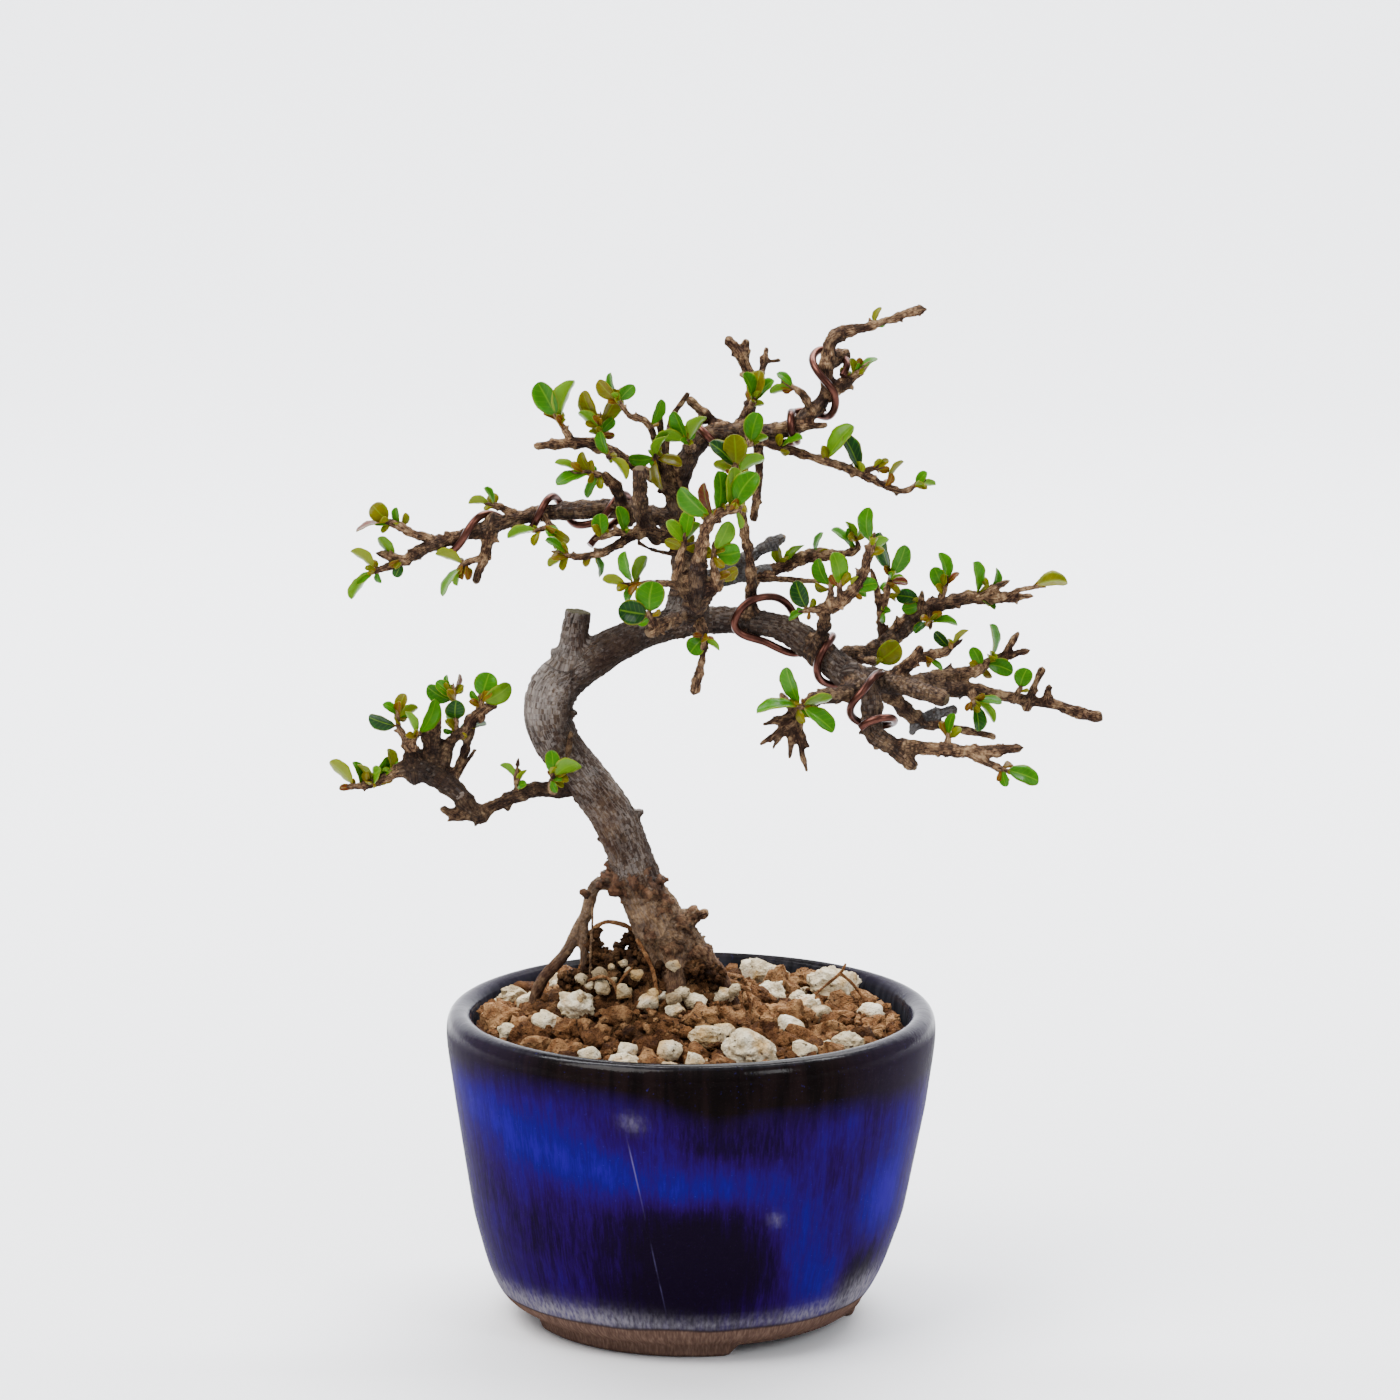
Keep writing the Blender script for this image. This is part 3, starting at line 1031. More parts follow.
@dataclass
class Graph:
    """A node tree that is being written, and the shared effects that it may use."""

    tree: bpy.types.NodeTree
    effects: SharedEffects | None = None

    def put(self, socket: Socket, value: object) -> None:
        """Link another node's socket to an input, or set a plain value there.

        Args:
            socket: The input.
            value: The other socket or the value.
        """
        if isinstance(value, Socket):
            self.tree.links.new(value, socket)
        else:
            socket.default_value = value

    def add(self, kind: str, inputs: dict | None = None, **settings: object) -> bpy.types.Node:
        """Add a node.

        Args:
            kind: The node's type name.
            inputs: Values or sockets for its inputs, by name or number.
            settings: Properties to set on the node before its inputs.

        Returns:
            The node.
        """
        node = self.tree.nodes.new(kind)
        for key, value in settings.items():
            setattr(node, key, value)
        for key, value in (inputs or {}).items():
            self.put(node.inputs[key], value)
        return node

    def mix(self, factor: object, first: object, second: object, blend: str = "MIX") -> Socket:
        """Mix two colours by a factor and return the colour."""
        settings = {"data_type": "RGBA", "blend_type": blend, "clamp_factor": True}
        return self.add("ShaderNodeMix", {0: factor, 6: first, 7: second}, **settings).outputs[2]

    def over(self, tone: object, other: object, mask: object, share: object) -> Socket:
        """Lay a share of another colour over one where a mask is 1, and return the colour."""
        return self.mix(self.times(mask, share), tone, other)

    def math(self, how: str, first: object, second: object = 0.0) -> Socket:
        """Combine two numbers and return the result."""
        return self.add("ShaderNodeMath", {0: first, 1: second}, operation=how).outputs[0]

    def times(self, first: object, second: object) -> Socket:
        """Multiply two numbers and return the result."""
        return self.math("MULTIPLY", first, second)

    def plus(self, first: object, second: object) -> Socket:
        """Add two numbers and return the result."""
        return self.math("ADD", first, second)

    def between(
        self, value: object, low: float, high: float, at_low: float = 0.0, at_high: float = 1.0
    ) -> Socket:
        """Stretch a number from one span onto another and return the result."""
        spans = {"Value": value, "From Min": low, "From Max": high, "To Min": at_low, "To Max": at_high}
        return self.add("ShaderNodeMapRange", spans, clamp=True).outputs["Result"]

    def spread(self, mask: object, at_none: float, at_full: float) -> Socket:
        """Stretch a mask of 0 to 1 onto another span and return the result."""
        return self.between(mask, 0.0, 1.0, at_none, at_full)

    def ramp(self, factor: object, *stops: tuple[float, Colour]) -> Socket:
        """Turn a number into a colour.

        Args:
            factor: The number.
            stops: Where on the ramp each colour lies.

        Returns:
            The colour.
        """
        node = self.add("ShaderNodeValToRGB", {0: factor})
        elements = node.color_ramp.elements
        while len(elements) < len(stops):
            elements.new(0.5)
        for element, (place, tone) in zip(elements, stops):
            element.position = place
            element.color = tone
        return node.outputs["Color"]

    def number(self, name: str) -> Socket:
        """Read a number that the mesh's vertices carry."""
        return self.add("ShaderNodeAttribute", attribute_name=name).outputs["Fac"]

    def vector(self, name: str) -> Socket:
        """Read a vector that the mesh's vertices carry."""
        return self.add("ShaderNodeAttribute", attribute_name=name).outputs["Vector"]

    def place(self) -> Socket:
        """Return the place on the object, in its own metres."""
        return self.add("ShaderNodeTexCoord").outputs["Object"]

    def stretched(self, vector: Socket, across: float, along: float) -> Socket:
        """Return a place scaled across its grain, in X and Y, and along it, in Z."""
        return self.add("ShaderNodeMapping", {"Vector": vector, "Scale": (across, across, along)}).outputs[0]

    def parts(self, vector: Socket) -> tuple[Socket, Socket, Socket]:
        """Return the three numbers of a vector."""
        return tuple(self.add("ShaderNodeSeparateXYZ", {0: vector}).outputs)

    def mask(self, where: Socket, scale: float, detail: float, low: float, high: float) -> Socket:
        """Return the shared mottle as a mask, 0 up to the low noise and 1 from the high noise on."""
        inputs = {"Vector": where, "Scale": scale, "Detail": detail, "Low": low, "High": high}
        return self.add("ShaderNodeGroup", inputs, node_tree=self.effects.mottle).outputs[0]

    def surface(self, where: Socket, broad: float, fine: float, tilt: float, depth: float) -> Socket:
        """Return the shared relief as a normal, with its two scales, its strength and its depth in metres."""
        inputs = {"Vector": where, "Scale": broad, "Fine Scale": fine, "Strength": tilt, "Distance": depth}
        return self.add("ShaderNodeGroup", inputs, node_tree=self.effects.relief).outputs[0]


def colour(red: int, green: int, blue: int) -> Colour:
    """Turn a colour as seen, 0 to 255, into the linear one that shaders use."""
    shares = [value / 255.0 for value in (red, green, blue)]
    return (*(s / 12.92 if s <= 0.04045 else ((s + 0.055) / 1.055) ** 2.4 for s in shares), 1.0)


@dataclass(frozen=True)
class SharedEffects:
    """The effects that more than one finish uses, as node groups."""

    mottle: bpy.types.NodeTree
    relief: bpy.types.NodeTree

    @staticmethod
    def build() -> SharedEffects:
        """Make the node groups once."""
        return SharedEffects(SharedEffects.make_mottle(), SharedEffects.make_relief())

    @staticmethod
    def open_tree(
        name: str, numbers: dict[str, float], outs: dict[str, str]
    ) -> tuple[Graph, dict[str, Socket]]:
        """Start a group with a Vector input and number inputs.

        Args:
            name: Name of the group.
            numbers: The number inputs with their defaults.
            outs: The outputs with their socket types.

        Returns:
            The group's graph, and its inputs as sockets to link from.
        """
        tree = bpy.data.node_groups.new(name, "ShaderNodeTree")
        tree.interface.new_socket("Vector", in_out="INPUT", socket_type="NodeSocketVector")
        for label, value in numbers.items():
            socket = tree.interface.new_socket(label, in_out="INPUT", socket_type="NodeSocketFloat")
            socket.default_value = value
        for label, kind in outs.items():
            tree.interface.new_socket(label, in_out="OUTPUT", socket_type=kind)
        graph = Graph(tree)
        inlet = graph.add("NodeGroupInput").outputs
        return graph, {label: inlet[label] for label in ("Vector", *numbers)}

    @staticmethod
    def make_mottle() -> bpy.types.NodeTree:
        """Make a cloudy mask with a chosen scale, low edge and high edge.

        Returns:
            The group.
        """
        graph, given = SharedEffects.open_tree(
            "cloudy mottle",
            {"Scale": 5.0, "Detail": 4.0, "Low": 0.35, "High": 0.65},
            {"Mask": "NodeSocketFloat"},
        )
        low, high = given.pop("Low"), given.pop("High")
        cloud = graph.add("ShaderNodeTexNoise", given)
        spans = {"Value": cloud.outputs["Fac"], "From Min": low, "From Max": high}
        mask = graph.add("ShaderNodeMapRange", spans, clamp=True, interpolation_type="SMOOTHSTEP")
        graph.add("NodeGroupOutput", {"Mask": mask.outputs["Result"]})
        return graph.tree

    @staticmethod
    def make_relief() -> bpy.types.NodeTree:
        """Make a fine rough surface from two sizes of noise, put out as a normal.

        Returns:
            The group.
        """
        graph, given = SharedEffects.open_tree(
            "fine relief",
            {"Scale": 5.0, "Fine Scale": 20.0, "Strength": 0.5, "Distance": 0.0003},
            {"Normal": "NodeSocketVector"},
        )
        where = given["Vector"]
        broad = graph.add("ShaderNodeTexNoise", {"Vector": where, "Scale": given["Scale"], "Detail": 5.0})
        fine = graph.add("ShaderNodeTexNoise", {"Vector": where, "Scale": given["Fine Scale"], "Detail": 3.0})
        both = graph.plus(broad.outputs["Fac"], graph.times(fine.outputs["Fac"], 0.45))
        bump = graph.add(
            "ShaderNodeBump", {"Strength": given["Strength"], "Distance": given["Distance"], "Height": both}
        )
        graph.add("NodeGroupOutput", {"Normal": bump.outputs["Normal"]})
        return graph.tree


@dataclass(frozen=True)
class Finish:
    """A procedural material; each kind says what goes into its shader."""

    name: str

    def paint(self, graph: Graph) -> dict[str, object]:
        """Return the values and sockets of the shader's inputs, by their names."""
        raise NotImplementedError(self.name)

    def build(self, effects: SharedEffects) -> Material:
        """Make the material.

        Args:
            effects: The shared effects.

        Returns:
            The material.
        """
        material = bpy.data.materials.new(self.name)
        material.use_nodes = True
        graph = Graph(material.node_tree, effects)
        shader = next(node for node in material.node_tree.nodes if node.type == "BSDF_PRINCIPLED")
        for key, value in self.paint(graph).items():
            graph.put(shader.inputs[key], value)
        return material


@dataclass(frozen=True)
class BarkFinish(Finish):
    """Fissured grey-brown bark that is tan and crumbly on young twigs and pale where it faces the weather."""

    name: str = "fissured bark"
    fissure: Colour = colour(16, 11, 9)
    brown: Colour = colour(50, 40, 35)
    ridge: Colour = colour(92, 80, 72)
    weathered: Colour = colour(150, 142, 136)
    warm: Colour = colour(52, 31, 22)
    dead: Colour = colour(112, 112, 112)
    cut: Colour = colour(140, 116, 88)
    moss: Colour = colour(70, 70, 46)
    low_dark: Colour = colour(74, 52, 38)
    low_light: Colour = colour(166, 136, 102)
    root_red: Colour = colour(58, 32, 24)
    collar: Colour = colour(52, 31, 23)
    knot_edge: Colour = colour(30, 19, 14)
    knot: Colour = colour(94, 62, 43)
    twig_dark: Colour = colour(38, 24, 18)
    twig_body: Colour = colour(106, 78, 56)
    twig_light: Colour = colour(160, 130, 96)
    twig_worn: Colour = colour(146, 124, 98)
    twig_red: Colour = colour(54, 27, 19)

    def old_wood(self, graph: Graph, exposed: Socket) -> Socket:
        """Colour the old grey bark, with fine cracks and light flecks across it.

        Args:
            graph: The material's graph.
            exposed: Where the weather has bleached the bark.

        Returns:
            The colour.
        """
        grain = graph.vector("grain")
        weather = graph.number("weather")
        fibres = graph.mask(graph.stretched(grain, 1.9, 1.2), 1.5, 6.0, 0.32, 0.66)
        flecks = graph.mask(graph.stretched(grain, 0.7, 3.4), 1.5, 3.0, 0.56, 0.68)
        patches = graph.mask(grain, 0.22, 4.0, 0.4, 0.62)
        bands = graph.mask(graph.stretched(grain, 1.0, 0.8), 1.0, 2.5, 0.42, 0.58)
        lines = graph.times(bands, graph.spread(bands, 3.2, 0.0))
        depth = graph.times(graph.number("ridge"), graph.spread(fibres, 0.62, 1.1))
        stops = ((0.06, self.fissure), (0.27, self.brown), (0.5, self.brown), (0.8, self.ridge))
        tone = graph.ramp(depth, *stops)
        tone = graph.over(tone, self.weathered, exposed, 0.85)
        tone = graph.over(tone, self.weathered, flecks, 0.3)
        tone = graph.over(tone, self.weathered, lines, graph.between(weather, 0.15, 0.5, 0.03, 0.5))
        tone = graph.over(tone, self.warm, graph.times(graph.between(weather, 0.55, 0.1), patches), 0.5)
        return self.foot(graph, tone, depth, lines)

    def foot(
        self, graph: Graph, tone: Socket, depth: Socket, lines: Socket
    ) -> Socket:
        """Colour the tan foot of the old bark, its brown collar, its rough knots and the reddish roots.

        Args:
            graph: The material's graph.
            tone: The bark's colour above.
            depth: How high the bark stands between its cracks.
            lines: The light lines along the cracks.

        Returns:
            The colour.
        """
        low = graph.number("low")
        blots = graph.mask(graph.vector("grain"), 0.55, 8.0, 0.38, 0.6)
        tan = graph.mix(graph.between(depth, 0.1, 0.75, 0.15, 1.0), self.low_dark, self.low_light)
        tan = graph.mix(graph.spread(blots, 0.55, 0.0), tan, self.low_dark)
        tan = graph.over(tan, self.weathered, lines, 0.25)
        tone = graph.over(tone, tan, low, 0.85)
        collar = graph.times(graph.between(low, 0.02, 0.4), graph.between(low, 0.98, 0.6))
        tone = graph.over(tone, self.collar, collar, graph.spread(blots, 0.95, 0.3))
        knot = graph.times(graph.number("knot"), graph.spread(blots, 1.15, 0.75))
        rough = graph.ramp(knot, (0.25, self.knot_edge), (0.4, self.knot_edge), (0.8, self.knot))
        rough = graph.mix(graph.between(depth, 0.1, 0.45, 0.7, 0.0), rough, self.knot_edge)
        tone = graph.mix(graph.between(knot, 0.08, 0.5, 0.0, 0.85), tone, rough)
        return graph.over(tone, self.root_red, graph.number("rooty"), 0.85)

    def young_wood(self, graph: Graph, exposed: Socket) -> Socket:
        """Colour the crumbly brown bark of the twigs.

        Args:
            graph: The material's graph.
            exposed: Where the weather has bleached the bark.

        Returns:
            The colour.
        """
        place = graph.place()
        along = graph.stretched(graph.vector("grain"), 1.5, 0.8)
        grit = graph.mask(place, 1300.0, 5.0, 0.38, 0.62)
        blots = graph.mask(place, 330.0, 4.0, 0.36, 0.64)
        flakes = graph.mask(along, 2.4, 5.0, 0.4, 0.6)
        depth = graph.times(graph.number("ridge"), graph.spread(grit, 0.7, 1.3))
        depth = graph.plus(depth, graph.spread(blots, -0.16, 0.16))
        depth = graph.plus(depth, graph.spread(flakes, -0.24, 0.2))
        tone = graph.ramp(depth, (0.05, self.twig_dark), (0.4, self.twig_body), (0.85, self.twig_light))
        tone = graph.over(tone, self.twig_worn, exposed, 0.3)
        return graph.over(tone, self.twig_red, graph.between(blots, 0.5, 0.0), 0.3)

    def paint(self, graph: Graph) -> dict[str, object]:
        """Join old, young, dead and sawn wood, darker where the sky doesn't reach.

        Args:
            graph: The material's graph.

        Returns:
            The shader's inputs.
        """
        grain = graph.vector("grain")
        weather = graph.number("weather")
        youth = graph.number("youth")
        flakes = graph.mask(grain, 1.7, 6.0, 0.3, 0.7)
        exposed = graph.times(graph.between(weather, 0.44, 0.9), flakes)
        old = self.old_wood(graph, exposed)
        tone = graph.mix(youth, old, self.young_wood(graph, exposed))
        tone = graph.over(tone, graph.mix(flakes, self.brown, self.dead), graph.number("dead"), 0.9)
        tone = graph.over(tone, graph.mix(youth, self.moss, self.cut), graph.number("cut"), 0.85)
        tone = graph.mix(graph.between(weather, 0.06, 0.4, 0.55, 0.0), tone, self.fissure)
        normal = graph.surface(grain, 2.2, 9.0, 1.0, 0.0006)
        return {"Base Color": tone, "Roughness": 0.85, "Normal": normal, "Specular IOR Level": 0.1}


@dataclass(frozen=True)
class LeafFinish(Finish):
    """A small glossy leaf, paler below, with a folded midrib, faint veins and a thin light margin."""

    name: str = "glossy leaf"
    pale_back: Colour = colour(112, 140, 30)
    rib: Colour = colour(112, 150, 24)
    margin: Colour = colour(128, 116, 20)
    stalk: Colour = colour(118, 64, 20)
    cloud: Colour = colour(60, 110, 10)
    tints: tuple[tuple[float, Colour], ...] = (
        (0.0, colour(10, 40, 8)), (0.16, colour(24, 70, 0)), (0.34, colour(54, 108, 0)),
        (0.5, colour(80, 120, 12)), (0.66, colour(88, 92, 0)), (0.8, colour(104, 80, 4)),
        (0.92, colour(96, 42, 8)), (1.0, colour(76, 20, 10)),
    )

    def paint(self, graph: Graph) -> dict[str, object]:
        """Colour the leaf by its tint, with its back, midrib, veins, margin and stalk.

        Args:
            graph: The material's graph.

        Returns:
            The shader's inputs.
        """
        blade = graph.vector("blade")
        along, side, _ = graph.parts(blade)
        across = graph.math("ABSOLUTE", side)
        cloud = graph.mask(graph.place(), 420.0, 3.0, 0.35, 0.65)
        face = graph.ramp(graph.number("tint"), *self.tints)
        face = graph.over(face, graph.mix(0.6, face, self.cloud, "MULTIPLY"), cloud, 0.42)
        face = graph.mix(graph.number("under"), face, graph.mix(0.4, face, self.pale_back))
        waves = graph.math("SINE", graph.plus(graph.times(along, 44.0), graph.times(across, -9.0)))
        veins = graph.times(graph.between(waves, 0.72, 1.0), 0.09)
        lines = graph.math("MAXIMUM", graph.between(across, 0.02, 0.11, 0.34, 0.0), veins)
        face = graph.mix(lines, face, self.rib)
        face = graph.over(face, self.margin, graph.between(across, 0.84, 1.0), 0.62)
        face = graph.mix(graph.between(along, 0.2, 0.02, 0.0, 0.9), face, self.stalk)
        return {
            "Base Color": face, "Roughness": 0.3, "Specular IOR Level": 0.06,
            "Normal": graph.surface(blade, 6.0, 26.0, 0.25, 0.0002),
            "Subsurface Weight": 0.08, "Subsurface Scale": 0.0008, "Subsurface Radius": (0.4, 1.0, 0.2),
            "Coat Weight": 0.14, "Coat IOR": 1.4, "Coat Roughness": 0.16,
        }


@dataclass(frozen=True)
class GlazeFinish(Finish):
    """Runny blue glaze, near black under the rim and in the thick pools, over a bare brown foot."""

    name: str = "blue runny glaze"
    blues: tuple[tuple[float, Colour], ...] = (
        (0.0, colour(12, 5, 20)), (0.2, colour(15, 3, 33)), (0.42, colour(24, 1, 58)),
        (0.62, colour(24, 0, 76)), (0.82, colour(21, 0, 88)), (1.0, colour(27, 0, 106)),
    )
    clays: tuple[tuple[float, Colour], ...] = (
        (0.0, colour(70, 52, 44)), (0.5, colour(84, 65, 56)), (1.0, colour(106, 84, 73)),
    )
    rim: tuple[Colour, Colour] = (colour(7, 4, 4), colour(18, 10, 10))
    rim_aside: Colour = colour(30, 22, 39)
    inside: tuple[Colour, Colour] = (colour(28, 29, 34), colour(48, 50, 57))
    dot: Colour = colour(45, 40, 122)
    crust: Colour = colour(118, 114, 122)
    scratched: Colour = colour(88, 80, 122)
    seam: Colour = colour(30, 22, 24)
    scratch_lean: float = 0.175
    scratch_place: float = 3.0

    def scratch(self, graph: Graph, wrap: Socket, broken: Socket) -> Socket:
        """Draw the long fine scratch down the front.

        Args:
            graph: The material's graph.
            wrap: The place on the pot in millimetres.
            broken: Where the scratch shows.

        Returns:
            Its mask.
        """
        aside, deep, height = graph.parts(wrap)
        across = graph.plus(aside, graph.times(height, self.scratch_lean))
        away = graph.math("ABSOLUTE", graph.plus(across, self.scratch_place))
        line = graph.between(away, 0.07, 0.2, 1.0, 0.0)
        front = graph.between(deep, -10.0, -5.0, 1.0, 0.0)
        span = graph.times(graph.between(height, 10.0, 16.0), graph.between(height, 40.0, 46.0, 1.0, 0.0))
        return graph.times(graph.times(line, front), graph.times(span, broken))

    def paint(self, graph: Graph) -> dict[str, object]:
        """Colour the runny glaze and the bare foot, and lay the gloss over them as a coat.

        Args:
            graph: The material's graph.

        Returns:
            The shader's inputs.
        """
        wrap = graph.vector("wrap")
        bare = graph.number("bare")
        streak = graph.mask(graph.stretched(wrap, 1.0, 0.12), 0.55, 6.0, 0.34, 0.68)
        hair = graph.mask(graph.stretched(wrap, 1.0, 0.14), 2.6, 4.0, 0.4, 0.62)
        cloud = graph.mask(wrap, 0.09, 3.0, 0.35, 0.65)
        speck = graph.mask(wrap, 1.9, 3.0, 0.66, 0.74)
        crusty = graph.mask(graph.stretched(wrap, 1.0, 0.5), 1.5, 8.0, 0.3, 0.72)
        brushed = graph.mask(graph.stretched(wrap, 1.0, 0.3), 2.2, 6.0, 0.2, 0.8)
        skin = graph.mask(wrap, 0.35, 2.0, 0.3, 0.7)
        level = graph.number("blue")
        for mask, amount in ((streak, 0.17), (hair, 0.13), (cloud, 0.12)):
            level = graph.plus(level, graph.times(graph.math("SUBTRACT", mask, 0.5), amount))
        body = graph.ramp(level, *self.blues)
        aside = graph.between(graph.math("ABSOLUTE", graph.parts(wrap)[0]), 24.0, 40.0)
        rim = graph.over(graph.mix(streak, *self.rim), self.rim_aside, aside, 0.85)
        body = graph.mix(graph.number("rim_glaze"), body, rim)
        body = graph.mix(graph.number("inner"), body, graph.mix(streak, *self.inside))
        body = graph.over(body, self.dot, speck, graph.between(level, 0.3, 0.8, 0.05, 0.35))
        bloom = graph.times(graph.number("bloom"), graph.spread(crusty, 0.3, 0.9))
        body = graph.mix(bloom, body, self.crust)
        body = graph.over(body, self.scratched, self.scratch(graph, wrap, cloud), 0.6)
        tone = graph.mix(graph.between(bare, 0.42, 0.58), body, graph.ramp(brushed, *self.clays))
        seam = graph.times(graph.between(bare, 0.3, 0.46), graph.between(bare, 0.54, 0.7, 1.0, 0.0))
        tone = graph.over(tone, self.seam, seam, 0.7)
        dull = graph.math("MAXIMUM", graph.times(bare, 0.75), graph.times(bloom, 0.5))
        gloss = graph.times(graph.number("gloss"), graph.between(bare, 0.4, 0.6, 1.0, 0.0))
        normal = graph.surface(wrap, 0.3, 1.6, 0.14, 0.0006)
        return {
            "Base Color": tone, "Roughness": 0.8, "Normal": normal, "Specular IOR Level": 0.0,
            "Coat Weight": gloss, "Coat IOR": 1.2, "Coat Normal": normal,
            "Coat Roughness": graph.plus(dull, graph.spread(skin, 0.08, 0.2)),
        }


@dataclass(frozen=True)
class StoneFinish(Finish):
    """A crumbly stone with a body colour, a lighter colour on its worn edges, stains and dark pores."""

    dark: Colour
    body: Colour
    light: Colour
    stain: Colour
    stain_share: float
    pore: Colour
    pore_edge: float
    grit: float
    pore_scale: float = 900.0
    damp: Colour = colour(18, 11, 8)

    def paint(self, graph: Graph) -> dict[str, object]:
        """Colour the stone by its own tone, with stains, pores and damp.

        Args:
            graph: The material's graph.

        Returns:
            The shader's inputs.
        """
        place = graph.place()
        scale = self.pore_scale
        cloud = graph.mask(place, scale * 0.5, 8.0, 0.3, 0.7)
        stain = graph.mask(place, scale * 0.22, 3.0, 0.5, 0.66)
        pores = graph.mask(place, scale * 1.1, 2.0, self.pore_edge, 0.72)
        mixed = graph.plus(graph.times(graph.number("tone"), 0.5), graph.times(cloud, 0.5))
        tone = graph.ramp(mixed, (0.05, self.dark), (0.5, self.body), (0.95, self.light))
        tone = graph.over(tone, self.stain, stain, self.stain_share)
        tone = graph.over(tone, self.pore, pores, 0.9)
        tone = graph.over(tone, self.damp, graph.number("damp"), 0.7)
        normal = graph.surface(place, scale, scale * 3.5, 1.0, self.grit)
        return {"Base Color": tone, "Roughness": 0.9, "Normal": normal, "Specular IOR Level": 0.08}


@dataclass(frozen=True)
class WireFinish(Finish):
    """Brown anodised aluminium wire with slight draw marks."""

    name: str = "brown training wire"
    tones: tuple[Colour, Colour] = (colour(56, 28, 21), colour(84, 48, 38))

    def paint(self, graph: Graph) -> dict[str, object]:
        """Colour the wire and wear its shine in places.

        Args:
            graph: The material's graph.

        Returns:
            The shader's inputs.
        """
        place = graph.place()
        cloud = graph.mask(place, 340.0, 4.0, 0.35, 0.65)
        worn = graph.mask(place, 900.0, 3.0, 0.62, 0.75)
        tone = graph.mix(cloud, *self.tones)
        return {"Base Color": tone, "Metallic": 0.85, "Roughness": graph.spread(worn, 0.3, 0.5)}


@dataclass(frozen=True)
class ScreenFinish(Finish):
    """Dark plastic of the drain screen."""

    name: str = "drain screen plastic"
    tones: tuple[Colour, Colour] = (colour(28, 30, 30), colour(70, 60, 50))

    def paint(self, graph: Graph) -> dict[str, object]:
        """Colour the screen, with silt on it."""
        cloud = graph.mask(graph.place(), 500.0, 3.0, 0.4, 0.7)
        return {"Base Color": graph.mix(cloud, *self.tones), "Roughness": graph.spread(cloud, 0.5, 0.8)}


@dataclass(frozen=True)
class PaperFinish(Finish):
    """The pale paper of the sweep."""

    name: str = "pale paper"
    tones: tuple[Colour, Colour] = (colour(238, 239, 242), colour(244, 244, 246))

    def paint(self, graph: Graph) -> dict[str, object]:
        """Colour the paper almost evenly.

        Args:
            graph: The material's graph.

        Returns:
            The shader's inputs.
        """
        cloud = graph.add("ShaderNodeTexNoise", {"Vector": graph.place(), "Scale": 3.0, "Detail": 2.0})
        tone = graph.mix(cloud.outputs["Fac"], *self.tones)
        return {"Base Color": tone, "Roughness": 0.8, "Specular IOR Level": 0.2}


# Pieces


